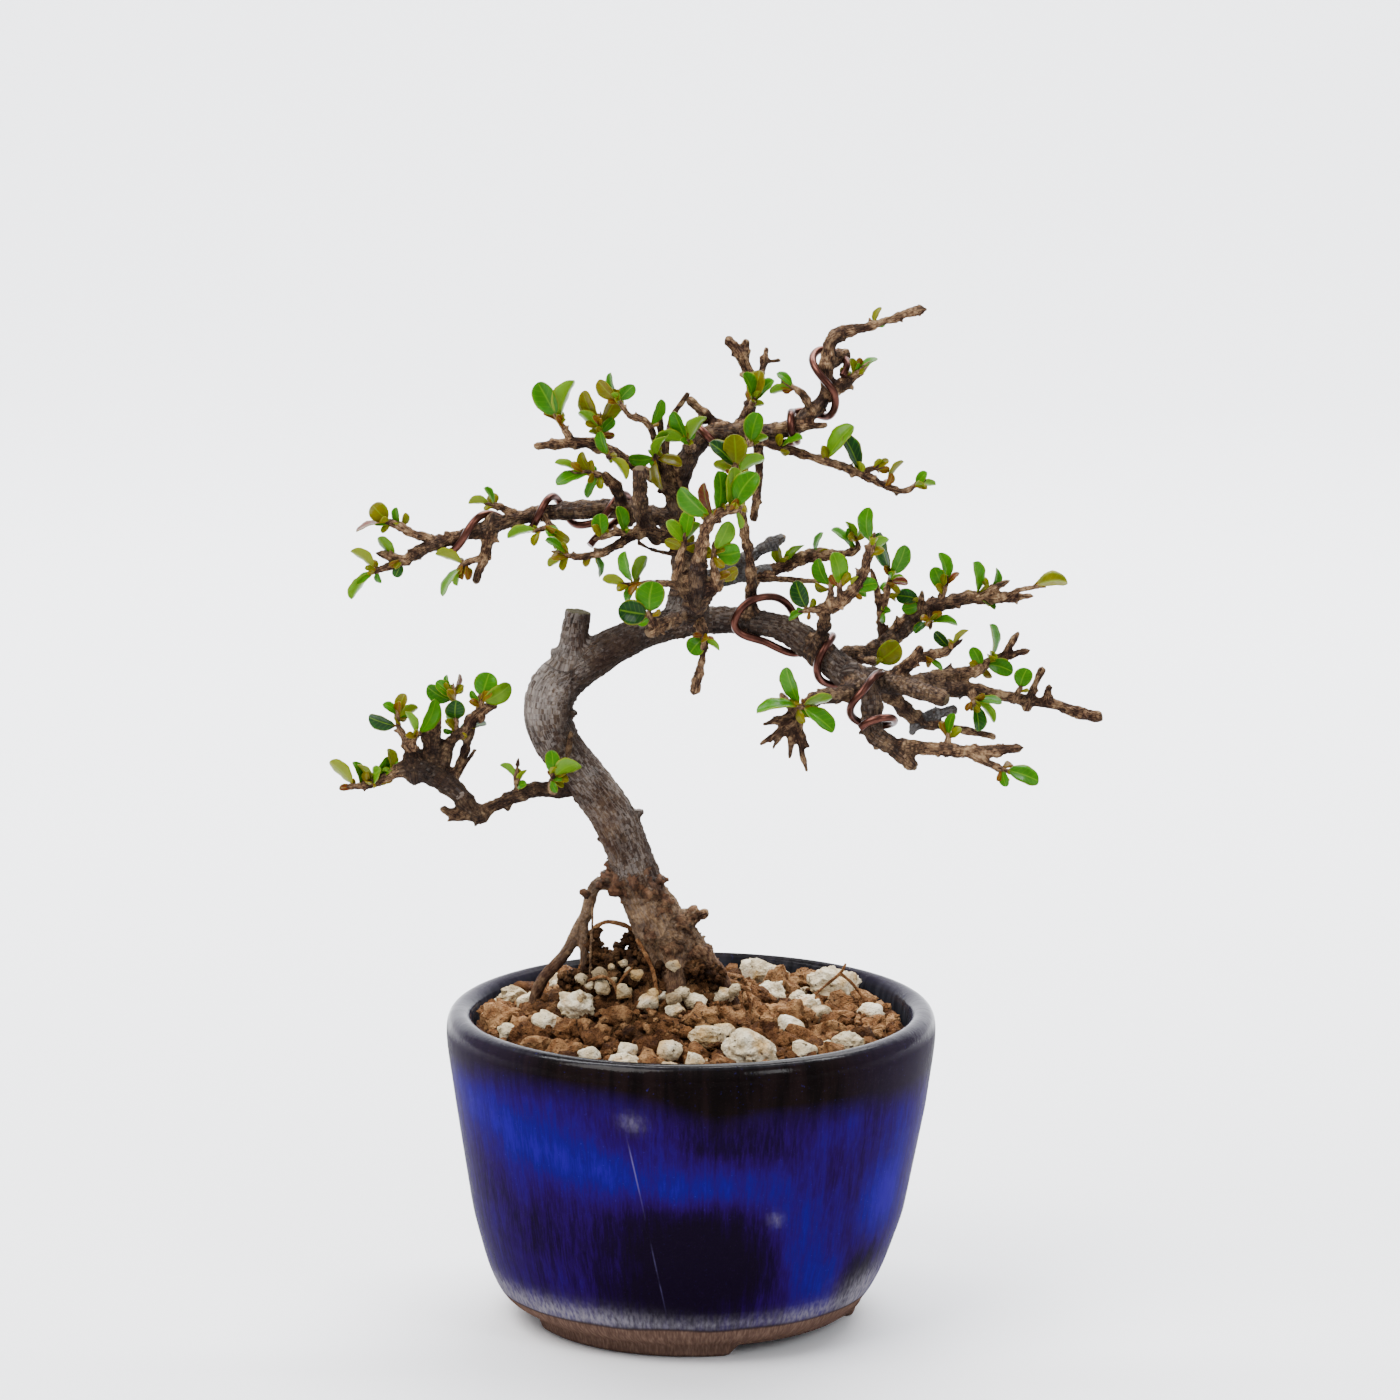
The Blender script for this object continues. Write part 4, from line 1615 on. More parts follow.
@dataclass
class Pot:
    """The round glazed pot with its rolled rim and its bare, notched foot.

    The profile is [radius, height]. Pressed gives how far the right wall is pushed in by height,
    and the band how far down the dark rim glaze runs by the angle from the front. Blobs and bloom
    spots are [angle, height, half width, half height, amount].
    """

    profile: tuple[Point, ...] = (
        (30.5, 0), (30.8, 2.6), (32.6, 3.3), (35.4, 5), (37.7, 10), (40.3, 20), (43.3, 40), (45, 52),
        (45, 55.5), (44.2, 57.3), (42.5, 58), (40.8, 57.3), (40, 55.5), (40, 48), (37.6, 30), (33.6, 14),
        (27, 8), (7, 8), (7, 3.6), (26.5, 3.6), (27.1, 0),
    )
    pressed: tuple[Point, ...] = ((3.0, 0.0), (3.3, 1.4), (5.0, 2.4), (10.0, 1.9), (20.0, 0.9), (40.0, 0.0))
    band: tuple[Point, ...] = (
        (-180, 48), (-82, 49), (-60, 51), (-43, 52), (-18, 51.6), (-6, 49), (6, 46.8), (19, 47.6), (37, 47.6),
        (63, 46), (100, 48), (140, 46), (180, 48),
    )
    notch_angles: tuple[float, ...] = (-43.5, 65.0, 173.5)
    notch_height: float = 2.0
    notch_half_width: float = 17.8
    notch_slope: float = 1.1
    notch_blend: float = 3.2
    foot_radius: float = 30.5
    foot_span: tuple[float, float] = (25.0, 32.0)
    foot_top: float = 3.4
    floor_height: float = 7.9
    wall_line: tuple[float, float] = (36.0 - 14.0 * 0.19, 0.19)
    glaze_radius: float = 41.0
    wrap_radius: float = 42.0
    waver: float = 0.0022
    lip_from: float = 54.5
    inner_until: float = 58.2
    bloom_from: float = 4.4
    foot_edge: float = 5.9
    foot_tilt: float = 1.1
    outer_foot: float = 30.4
    corner_cut: float = 1.4
    steps: int = 216
    point_gap: float = 1.2
    blobs: tuple[Point, ...] = (
        (-67, 46, 9, 5, 0.3), (-50, 43.5, 9, 5.5, 0.42), (-32, 39.5, 9, 4.8, 0.46), (-16, 36.5, 8, 4.3, 0.28),
        (-4, 34, 7, 3.4, 0.3), (8, 35, 7, 3.3, 0.26), (-14, 43, 8, 4, -0.02), (-2, 21, 12, 11, -0.46),
        (8, 17, 10, 11, -0.34), (-14, 12, 11, 7, -0.22), (28, 25, 4.5, 12, 0.31), (38, 15, 6, 6, 0.38),
        (18.5, 33, 6, 5, 0.16), (58, 27, 6, 7, 0.5), (62, 36, 7, 8, 0.2), (54, 13, 6, 6, -0.5),
        (10, 43, 8, 4, -0.22), (40, 43, 9, 5, 0.06), (-52, 16, 7, 5, -0.12), (-36, 24, 12, 6, -0.15),
        (-75, 25, 8, 10, -0.05), (100, 26, 10, 12, 0.3), (128, 14, 12, 8, -0.4), (150, 33, 12, 7, 0.36),
        (176, 12, 13, 8, -0.36), (205, 24, 12, 9, 0.36), (236, 10, 10, 6, -0.4), (250, 36, 12, 7, 0.34),
    )
    bloom_spots: tuple[Point, ...] = (
        (-46, 7.6, 15, 2.4, 1.1), (-74, 7.4, 9, 3, 0.9), (-22, 8, 10, 2, 0.6), (62, 8.6, 9, 3.6, 1.3),
        (36, 8, 9, 1.6, 0.8), (5, 8, 14, 1.3, 0.55), (110, 8, 16, 2.4, 0.9), (170, 7.6, 20, 2.2, 0.8),
        (225, 8, 15, 2.4, 1), (268, 7.6, 10, 2.6, 0.9), (-13.5, 47.3, 1.7, 1.3, 0.42),
        (21.5, 28.4, 1, 1, 0.5),
    )

    @staticmethod
    def read_off(value: float, stops: Sequence[Point]) -> float:
        """Return what stops of [value, result] give for a value between them."""
        return float(np.interp(value, [stop[0] for stop in stops], [stop[1] for stop in stops]))

    def rounded_profile(self) -> list[Vector]:
        """Soften the profile's corners and lay points closely along it.

        Returns:
            The points as radius and height in millimetres.
        """
        ring = [Vector(point) for point in self.profile]
        for _ in range(2):
            cut: list[Vector] = []
            for here, after in zip(ring, [*ring[1:], ring[0]]):
                reach = min(0.25, self.corner_cut / (after - here).length)
                cut += [here.lerp(after, reach), here.lerp(after, 1 - reach)]
            ring = cut
        close: list[Vector] = []
        for here, after in zip(ring, [*ring[1:], ring[0]]):
            count = max(1, round((after - here).length / self.point_gap))
            close.extend(here.lerp(after, k / count) for k in range(count))
        return close

    def spots_at(self, angle: float, height: float, spots: Sequence[Point]) -> float:
        """Add up the soft spots at a place on the wall.

        Args:
            angle: Degrees from the front.
            height: Millimetres from the floor.
            spots: The spots.

        Returns:
            The sum of their amounts there.
        """
        total = 0.0
        for spot_angle, spot_height, half_width, half_height, amount in spots:
            turn = math.radians((angle - spot_angle + 180.0) % 360.0 - 180.0)
            away = (turn * self.glaze_radius / half_width) ** 2 + ((height - spot_height) / half_height) ** 2
            total += amount * math.exp(-0.9 * away)
        return total

    def build(self, glaze: Material) -> None:
        """Turn the profile round the pot's axis and write the glaze's place on it.

        Args:
            glaze: The pot's material.
        """
        ring = self.rounded_profile()
        axis = POT_AXIS * MM
        mesh = bpy.data.meshes.new("glazed_pot")
        corners = [(axis.x + point.x * MM, 0.0, point.y * MM) for point in ring]
        mesh.from_pydata(corners, [(i, (i + 1) % len(ring)) for i in range(len(ring))], [])
        pot = new_object("glazed_pot", mesh)
        make_active(pot)
        bpy.ops.object.mode_set(mode="EDIT")
        bpy.ops.mesh.select_all(action="SELECT")
        bpy.ops.mesh.spin(steps=self.steps, angle=FULL_TURN, center=axis, axis=(0, 0, 1))
        bpy.ops.mesh.select_all(action="SELECT")
        bpy.ops.mesh.remove_doubles(threshold=0.02 * MM)
        bpy.ops.mesh.normals_make_consistent(inside=False)
        bpy.ops.mesh.faces_shade_smooth()
        bpy.ops.object.mode_set(mode="OBJECT")
        self.shape_by_hand(pot)
        finish_piece(pot, "glazed_pot", ["pot"], glaze)

    def notched(self, height: float, turn: float, radius: float) -> float:
        """Lift the foot's edge where a notch is cut.

        Args:
            height: Height of the place.
            turn: Its angle round the axis, in degrees.
            radius: Its distance from the axis.

        Returns:
            Its new height.
        """
        if height >= self.foot_top or not self.foot_span[0] < radius < self.foot_span[1]:
            return height
        for notch in self.notch_angles:
            away = abs((turn - notch + 180) % 360 - 180)
            inside = self.notch_half_width - math.radians(away) * self.foot_radius
            lift = min(self.notch_height, max(0.0, inside) * self.notch_slope)
            height = height + lift * max(0.0, 1 - height / self.notch_blend)
        return height

    def glaze_facts(self, place: Vector, front: float, outside: bool, edge: float) -> dict[str, float]:
        """Say what the glaze is like at a place.

        Args:
            place: The place in millimetres from the pot's axis.
            front: Its angle from the front, in degrees.
            outside: Whether it lies on the outer wall.
            edge: A slow waver round the pot, -1 to 1.

        Returns:
            The values that the material reads, by name.
        """
        height = place.z
        radius = math.hypot(place.x, place.y)
        rim_edge = self.read_off((front + 180.0) % 360.0 - 180.0, self.band) + edge
        foot_edge = self.foot_edge + self.foot_tilt * math.cos(math.radians(front)) + 0.35 * edge
        lip = clamped((height - self.lip_from) / 2.0)
        back = max(0.0, place.y / radius)
        glazed_wall = outside and height > self.bloom_from
        bare = clamped(0.5 + (foot_edge - height) / 1.6)
        return {
            "gloss": 0.12 + lip * (0.68 * (1.0 - back) - 0.07 * back),
            "blue": 0.46 + self.spots_at(front, height, self.blobs),
            "rim_glaze": clamped((height - rim_edge + 2.5) / 5.0) if outside else 1.0,
            "inner": 0.0 if outside else clamped((self.inner_until - height) / 3.0),
            "bloom": self.spots_at(front, height, self.bloom_spots) if glazed_wall else 0.0,
            "bare": bare if radius > self.outer_foot else float(height < 6),
        }

    def shape_by_hand(self, pot: Thing) -> None:
        """Press the right wall in, cut the foot's notches, let the walls waver and write the facts.

        Args:
            pot: The turned pot.
        """
        places = corner_array(pot.data, "co")
        wrap = np.zeros_like(places)
        rows: list[dict[str, float]] = []
        for i in range(len(places)):
            x, y, z = places[i, 0] / MM - POT_AXIS.x, places[i, 1] / MM, places[i, 2] / MM
            radius = math.hypot(x, y)
            around = math.atan2(y, x)
            front = math.degrees(math.atan2(x, -y))
            ring = Vector((math.cos(around), math.sin(around), 0.0))
            outside = bool(z < self.floor_height or radius > self.wall_line[0] + z * self.wall_line[1])
            if outside and z > self.pressed[0][0]:
                share = 1.0 - self.read_off(z, self.pressed) * max(0.0, x / radius) ** 2 / radius
                x, y, radius = x * share, y * share, radius * share
            scale = 1.0 + self.waver * noise.noise(ring * 1.3 + UP * (z * 0.03))
            z = self.notched(z, math.degrees(around), radius)
            places[i] = ((x * scale + POT_AXIS.x) * MM, y * scale * MM, z * MM)
            wrap[i] = ring * self.wrap_radius + UP * z
            edge = noise.noise(ring * 4.0 + UP * 3.0)
            rows.append(self.glaze_facts(Vector((x, y, z)), front, outside, edge))
        move_corners(pot.data, places)
        set_vector(pot, "wrap", wrap)
        for name in rows[0]:
            set_number(pot, name, [row[name] for row in rows])


@dataclass
class Crumb:
    """One stone of the soil: its middle, its size in millimetres, its paleness and how damp it is."""

    middle: Vector
    size: float
    tone: float
    damp: float = 0.0


@dataclass
class Soil:
    """The mounded bed of fired clay crumbs and pumice that fills the pot.

    Pumice spots and dark spots are [x, y, size]. The root mass, heap stones and fine roots are
    [x, z, depth, size] readings. Crumb sizes are [share of the tries, least, most].
    """

    clay: list[Crumb] = field(default_factory=list)
    pumice: list[Crumb] = field(default_factory=list)
    taken: list[tuple[float, float, float]] = field(default_factory=list)
    picker: random.Random = field(default_factory=lambda: random.Random(20477))
    bed_radius: float = 39.6
    bed_rings: int = 40
    bed_spokes: int = 96
    bed_sink: float = 1.3
    bed_bottom: float = 49.0
    crumb_tries: int = 9000
    crumb_sizes: tuple[Point, ...] = ((0.14, 5.8, 8.6), (0.5, 4.0, 6.0), (1.0, 2.2, 3.8))
    pumice_share: float = 0.09
    dust_count: int = 900
    lump_size: float = 5.8
    stone_size: float = 5.5
    pumice_spots: tuple[Point, ...] = (
        (26.8, 20.8, 9.4), (10.5, -28.6, 10), (13.4, 30.8, 8.5), (-20.7, -8, 7.5), (3, -21, 6.5),
        (28, -19, 6), (-33, -12, 4), (-26.6, -10, 5), (-8, -10, 4.5), (0.7, -9, 4.5),
        (5.7, -4, 5), (-4, -27, 5),
        (-11.4, -27, 4), (0.6, -32, 4), (20, -24, 4.6), (18, -10, 5), (19.7, 12.6, 3.5), (14.8, 12, 6),
        (-24, 20, 6), (-10, 26, 5), (-30, 6, 5), (2, 16, 4.5), (33, 4, 5), (-18, -28, 4), (-2, 34, 5),
        (-15, -2, 3), (-12, -4.4, 2.6), (-9, -1.5, 3.2), (-5.6, -7.4, 2.8), (-2.6, -8.6, 3), (-17.5, -4, 2.4),
    )
    root_mass: tuple[Point, ...] = (
        (-13.4, 64.6, 0, 3.6), (-11.6, 68.4, 1.5, 2.4), (-16.6, 62.5, -1, 3.6), (-16.8, 66.8, 1, 2.2),
        (-17.7, 69.4, 1, 1.2), (-17.6, 71.6, 1, 0.8), (-10.8, 70.8, 1.5, 1.6), (-9.8, 66, -2, 2.6),
        (-4.6, 64.4, -4.6, 2.2), (0.6, 64.4, -4.4, 2.4), (3.8, 63, -3, 2.6), (-22.4, 62.2, -3, 2.4),
    )
    heap_middle: tuple[float, float] = (-12.0, 0.5)
    heap_reach: tuple[float, float] = (21.0, 11.0)
    heap_height: float = 5.2
    heap_count: int = 420
    heap_stones: tuple[Point, ...] = (
        (-16.7, 63.9, -8, 3), (-16.2, 61.3, -9, 3.4), (-9.9, 63.7, -8, 2.6), (-12.5, 65.9, -6, 1.8),
        (-11.5, 64.4, -7, 1.6), (-20.2, 63, -7, 2.4), (-12.5, 60.5, -10, 3.4), (-3.3, 65.4, -8, 2.8),
        (-1.5, 60.3, -10, 2.8), (-6.9, 60.3, -10, 2.2), (-3.1, 59.2, -11, 3.2), (-20.2, 59.3, -10, 2.2),
        (8.1, 60.8, -6, 2.6), (-14.4, 62.6, -8, 1.8), (-18.6, 61.6, -8, 1.8), (-14.6, 65.2, -6, 1.4),
    )
    fine_roots: tuple[Limb, ...] = (
        [(22.2, 59.2, 12, 0.2), (23.7, 60.8, 13, 0.25), (27.4, 64, 14, 0.3), (28.4, 65.8, 15, 0.2)],
        [(27.4, 64, 14, 0.3), (29.4, 62.3, 14, 0.3), (31.2, 60, 13, 0.3), (32.6, 57.6, 12, 0.2)],
        [(9.1, 60.6, -8, 0.25), (9.4, 58, -9, 0.25), (9.8, 54, -10, 0.2)],
        [(10.2, 60.8, -8, 0.2), (10.9, 58, -9, 0.25), (10.6, 54, -10, 0.2)],
        [
            (-18.9, 62.6, -9, 0.25), (-16.2, 63.4, -10, 0.3), (-14.3, 62.1, -10.4, 0.3),
            (-13.6, 60, -10.5, 0.2),
        ],
        [(-13.8, 61, -10, 0.2), (-12.3, 63.5, -9, 0.25), (-10.8, 65, -7, 0.2)],
        [(-9.9, 70.4, -3.6, 0.4), (-7.4, 65.6, -6.4, 0.4), (-6.5, 62, -8, 0.35), (-6.4, 58, -10, 0.25)],
        [(-24.2, 60, -4, 0.2), (-21.3, 62.5, -3, 0.25), (-20.4, 65.6, -1, 0.2)],
        [(21.6, 53.4, 0, 0.2), (25.3, 55.4, 0.6, 0.3), (27.4, 54.4, 1, 0.2)],
        [(17, 55.8, 2, 0.2), (19.9, 57.6, 2.4, 0.25), (22.6, 55.9, 2, 0.2)],
        [(-18.4, 71.4, 1.4, 0.5), (-17.2, 72.9, 1, 0.45), (-15.3, 73.7, 1, 0.4), (-12.6, 73.2, 0.5, 0.4),
         (-10.5, 72.2, 0, 0.4)],
    )
    dark_spots: tuple[Point, ...] = ((31, -12.6, 5.5), (-11, -20, 4), (8, 24, 5), (-27, -2, 4))

    @staticmethod
    def lump(seed: int, subdivisions: int, flatness: float, roughness: float, sides: int = 4) -> Shape:
        """Make one crumb of unit size.

        Args:
            seed: Start of its own noise.
            subdivisions: How often its first form is divided.
            flatness: Height as a share of its width.
            roughness: How far its faces go in and out.
            sides: How many worn flats it has.

        Returns:
            Its corners and its faces.
        """
        clear_selection()
        bpy.ops.mesh.primitive_ico_sphere_add(subdivisions=subdivisions, radius=0.5)
        ball = bpy.context.view_layer.objects.active
        picker = random.Random(seed)
        flats: list[tuple[Vector, float]] = []
        for _ in range(sides):
            way = Vector([picker.uniform(-1, 1) for _ in range(3)]).normalized()
            flats.append((way, picker.uniform(0.34, 0.45)))
        waves = [(3.1, 1.0, Vector((seed, 0.3 * seed, 1.7))), (8.3, 0.45, Vector((seed, 7, 1)))]
        if subdivisions > 3:
            waves.append((19.0, 0.3, Vector((2, seed, 5))))
        rows = []
        for vertex in ball.data.vertices:
            place = vertex.co.copy()
            for scale, share, start in waves:
                place += vertex.co * (roughness * share * noise.noise(vertex.co * scale + start))
            for way, reach in flats:
                place -= way * (max(0.0, place.dot(way) - reach) * 0.85)
            rows.append((place.x, place.y * 0.92, place.z * flatness))
        faces = [tuple(face.vertices) for face in ball.data.polygons]
        bpy.data.meshes.remove(ball.data)
        return np.array(rows, dtype=np.float32), faces

    @staticmethod
    def merge(name: str, crumbs: Sequence[Crumb], shapes: Sequence[Shape], seed: int) -> Thing:
        """Copy the shapes to every crumb, each turned its own way, as one mesh.

        Args:
            name: Name of the piece.
            crumbs: Where the stones lie.
            shapes: The shapes to pick from in turn.
            seed: Start of the random turns.

        Returns:
            The piece, with a tone and a damp share at each vertex.
        """
        picker = random.Random(seed)
        corners: list[np.ndarray] = []
        faces: list[tuple[int, ...]] = []
        tones: list[float] = []
        damps: list[float] = []
        for number, crumb in enumerate(crumbs):
            rows, loops = shapes[number % len(shapes)]
            spin = Matrix.Rotation(picker.uniform(0, 6.283), 3, "Z")
            turn = spin @ Matrix.Rotation(picker.uniform(-0.7, 0.7), 3, "X")
            turned = rows @ np.array(turn.transposed(), dtype=np.float32)
            middle = np.array(in_metres(crumb.middle), dtype=np.float32)
            corners.append(turned * (crumb.size * MM) + middle)
            faces.extend(tuple(corner + len(tones) for corner in loop) for loop in loops)
            tones.extend([crumb.tone] * len(rows))
            damps.extend([crumb.damp] * len(rows))
        piece = mesh_from(name, np.concatenate(corners), faces)
        set_number(piece, "tone", tones)
        set_number(piece, "damp", damps)
        return piece

    def lay_read_stones(self) -> None:
        """Lay the stones that are read from the photograph on the mound."""
        for x, y, size in self.pumice_spots:
            lift = (0.16 if size > 6 else 0.12) * size
            self.pumice.append(Crumb(on_soil(x, y, lift), size, self.picker.uniform(0.45, 1.0)))
        for x, y, size in self.dark_spots:
            self.clay.append(Crumb(on_soil(x, y, 0.1 * size), size, 0.0, 0.7))
        self.taken = [*self.pumice_spots, *self.dark_spots]

    def fill_bed(self, roots: kdtree.KDTree) -> None:
        """Lay crumbs on the mound wherever there is room, the large ones first.

        Args:
            roots: Places along the surface roots, which stay uncovered.
        """
        picker = self.picker
        for number in range(self.crumb_tries):
            share = number / self.crumb_tries
            size = picker.uniform(*next(span for limit, *span in self.crumb_sizes if share < limit))
            reach = (self.bed_radius - 0.45 * size - 0.4) * math.sqrt(picker.random())
            x, y = polar(reach, picker.uniform(0, FULL_TURN))
            lift = picker.uniform(-0.12, 0.16) * size - 0.35
            tone = picker.random()
            is_pumice = picker.random() < self.pumice_share
            if any((x - a) ** 2 + (y - b) ** 2 < (0.41 * (size + c)) ** 2 for a, b, c in self.taken):
                continue
            middle = on_soil(x, y, lift)
            if roots.find(in_metres(middle))[2] < (0.42 * size + 1.0) * MM:
                continue
            self.taken.append((x, y, size))
            damp = 0.75 * math.exp(-((x + 8) ** 2 + (y - 1) ** 2) / (2 * 9.0**2)) + 0.15 * picker.random()
            if is_pumice:
                self.pumice.append(Crumb(middle, size, tone))
            else:
                self.clay.append(Crumb(middle, size, tone, damp))

    def cling_to_roots(self) -> None:
        """Hang damp crumbs and small stones in the root mass beside the trunk."""
        picker = self.picker
        for x, z, depth, radius in self.root_mass:
            for _ in range(int(12 * radius) + 10):
                way = Vector([picker.gauss(0, 1) for _ in range(3)]).normalized()
                place = seen_point(x, z, depth) + way * (radius * picker.uniform(0.55, 1.0))
                size, tone = picker.uniform(1.0, 2.2), picker.uniform(0.0, 0.5)
                self.clay.append(Crumb(place, size, tone, picker.uniform(0.7, 1.1)))
        for x, z, depth, size in self.heap_stones:
            tone = picker.uniform(-0.6, 0.5)
            self.pumice.append(Crumb(seen_point(x, z, depth), size, tone, picker.uniform(0.1, 0.45)))

    def heap_up(self) -> None:
        """Heap crumbs round the trunk's foot, dampest in the middle."""
        picker = self.picker
        for _ in range(self.heap_count):
            across, deep = picker.uniform(-1, 1), picker.uniform(-1, 1)
            away = across * across + deep * deep
            if away > 1.0:
                continue
            x = self.heap_middle[0] + across * self.heap_reach[0]
            y = self.heap_middle[1] + deep * self.heap_reach[1]
            top = self.heap_height * (1 - away) * picker.uniform(0.55, 1.0)
            size = picker.uniform(1.8, 4.2)
            damp = clamped(1.05 - 0.8 * math.sqrt(away) + 0.3 * picker.random())
            self.clay.append(Crumb(on_soil(x, y, top - 0.3 * size), size, 0.7 * picker.random(), damp))

    def dust(self) -> list[Crumb]:
        """Scatter the smallest crumbs, which lie between and on the others.

        Returns:
            The crumbs.
        """
        picker = random.Random(883)
        crumbs: list[Crumb] = []
        for _ in range(self.dust_count):
            reach = (self.bed_radius - 1.2) * math.sqrt(picker.random())
            x, y = polar(reach, picker.uniform(0, FULL_TURN))
            middle = on_soil(x, y, picker.uniform(-0.9, 1.1))
            crumbs.append(Crumb(middle, picker.uniform(0.9, 2.1), picker.random(), 0.4 * picker.random()))
        return crumbs

    def bed(self) -> Thing:
        """Make the closed bed under the crumbs: a mound with a straight side and a flat bottom.

        Returns:
            The bed.
        """
        rings, spokes = self.bed_rings, self.bed_spokes
        turns = [FULL_TURN * spoke / spokes for spoke in range(spokes)]
        places = [on_soil(0.0, 0.0, -self.bed_sink)]
        for ring in range(1, rings + 1):
            for turn in turns:
                x, y = polar(self.bed_radius * ring / rings, turn)
                rough = 1.1 * noise.noise(Vector((x * 0.35, y * 0.35, 0.5)))
                rough += 0.5 * noise.noise(Vector((x, y, 2.5)))
                places.append(on_soil(x, y, rough - self.bed_sink))
        places += [Vector((*polar(self.bed_radius, turn), self.bed_bottom)) for turn in turns]
        places.append(UP * self.bed_bottom)
        faces: list[tuple[int, ...]] = []
        for spoke in range(spokes):
            after = (spoke + 1) % spokes
            faces.append((0, 1 + spoke, 1 + after))
            for low in range(1, 1 + rings * spokes, spokes):
                high = low + spokes
                faces.append((low + spoke, high + spoke, high + after, low + after))
            rim = 1 + rings * spokes
            faces.append((rim + spoke, len(places) - 1, rim + after))
        bed = mesh_from("soil_bed", [in_metres(place) for place in places], faces)
        set_number(bed, "tone", [0.12] * len(places))
        set_number(bed, "damp", [0.35] * len(places))
        return bed

    def hair_roots(self) -> Thing:
        """Draw the hair roots as uneven threads.

        Returns:
            The threads.
        """
        threads: list[Run] = []
        for limb in self.fine_roots:
            line, widths = smooth_path(limb, 0.5)
            uneven = [width * (1 + 0.3 * noise.noise(place)) for width, place in zip(widths, line)]
            threads.append((line, uneven))
        roots = tubes("fine_roots", threads, 6)
        set_number(roots, "tone", [0.5] * len(roots.data.vertices))
        return roots

    def build(self, roots: kdtree.KDTree, clay_finish: Material, pumice_finish: Material) -> None:
        """Make the bed, the clay crumbs, the hair roots and the pumice.

        Args:
            roots: Places along the surface roots.
            clay_finish: Material of the fired clay.
            pumice_finish: Material of the pumice.
        """
        self.lay_read_stones()
        self.fill_bed(roots)
        self.cling_to_roots()
        self.heap_up()
        lumps = [crumb for crumb in self.clay if crumb.size >= self.lump_size]
        crumbs = [crumb for crumb in self.clay if crumb.size < self.lump_size]
        lump_shapes = [self.lump(seed, 4, 0.8, 0.7, 5) for seed in range(20, 36)]
        crumb_shapes = [self.lump(seed, 2, 0.84, 0.85) for seed in range(14)]
        dust_shapes = [self.lump(seed, 1, 0.8, 0.5) for seed in range(60, 66)]
        for piece in (
            self.bed(),
            self.merge("clay_lumps", lumps, lump_shapes, 13),
            self.merge("clay_crumbs", crumbs, crumb_shapes, 5),
            self.merge("clay_dust", self.dust(), dust_shapes, 7),
            self.hair_roots(),
        ):
            finish_piece(piece, "akadama_soil", ["soil"], clay_finish)
        stones = [crumb for crumb in self.pumice if crumb.size >= self.stone_size]
        chips = [crumb for crumb in self.pumice if crumb.size < self.stone_size]
        stone_shapes = [self.lump(40 + number, 5, 0.74, 0.32) for number in range(len(stones))]
        chip_shapes = [self.lump(seed, 3, 0.8, 0.42) for seed in range(80, 90)]
        large = self.merge("pumice_stones", stones, stone_shapes, 9)
        finish_piece(large, "pumice", [f"pumice_{number}" for number in range(1, 7)], pumice_finish)
        finish_piece(self.merge("pumice_chips", chips, chip_shapes, 11), "pumice", ["soil"], pumice_finish)


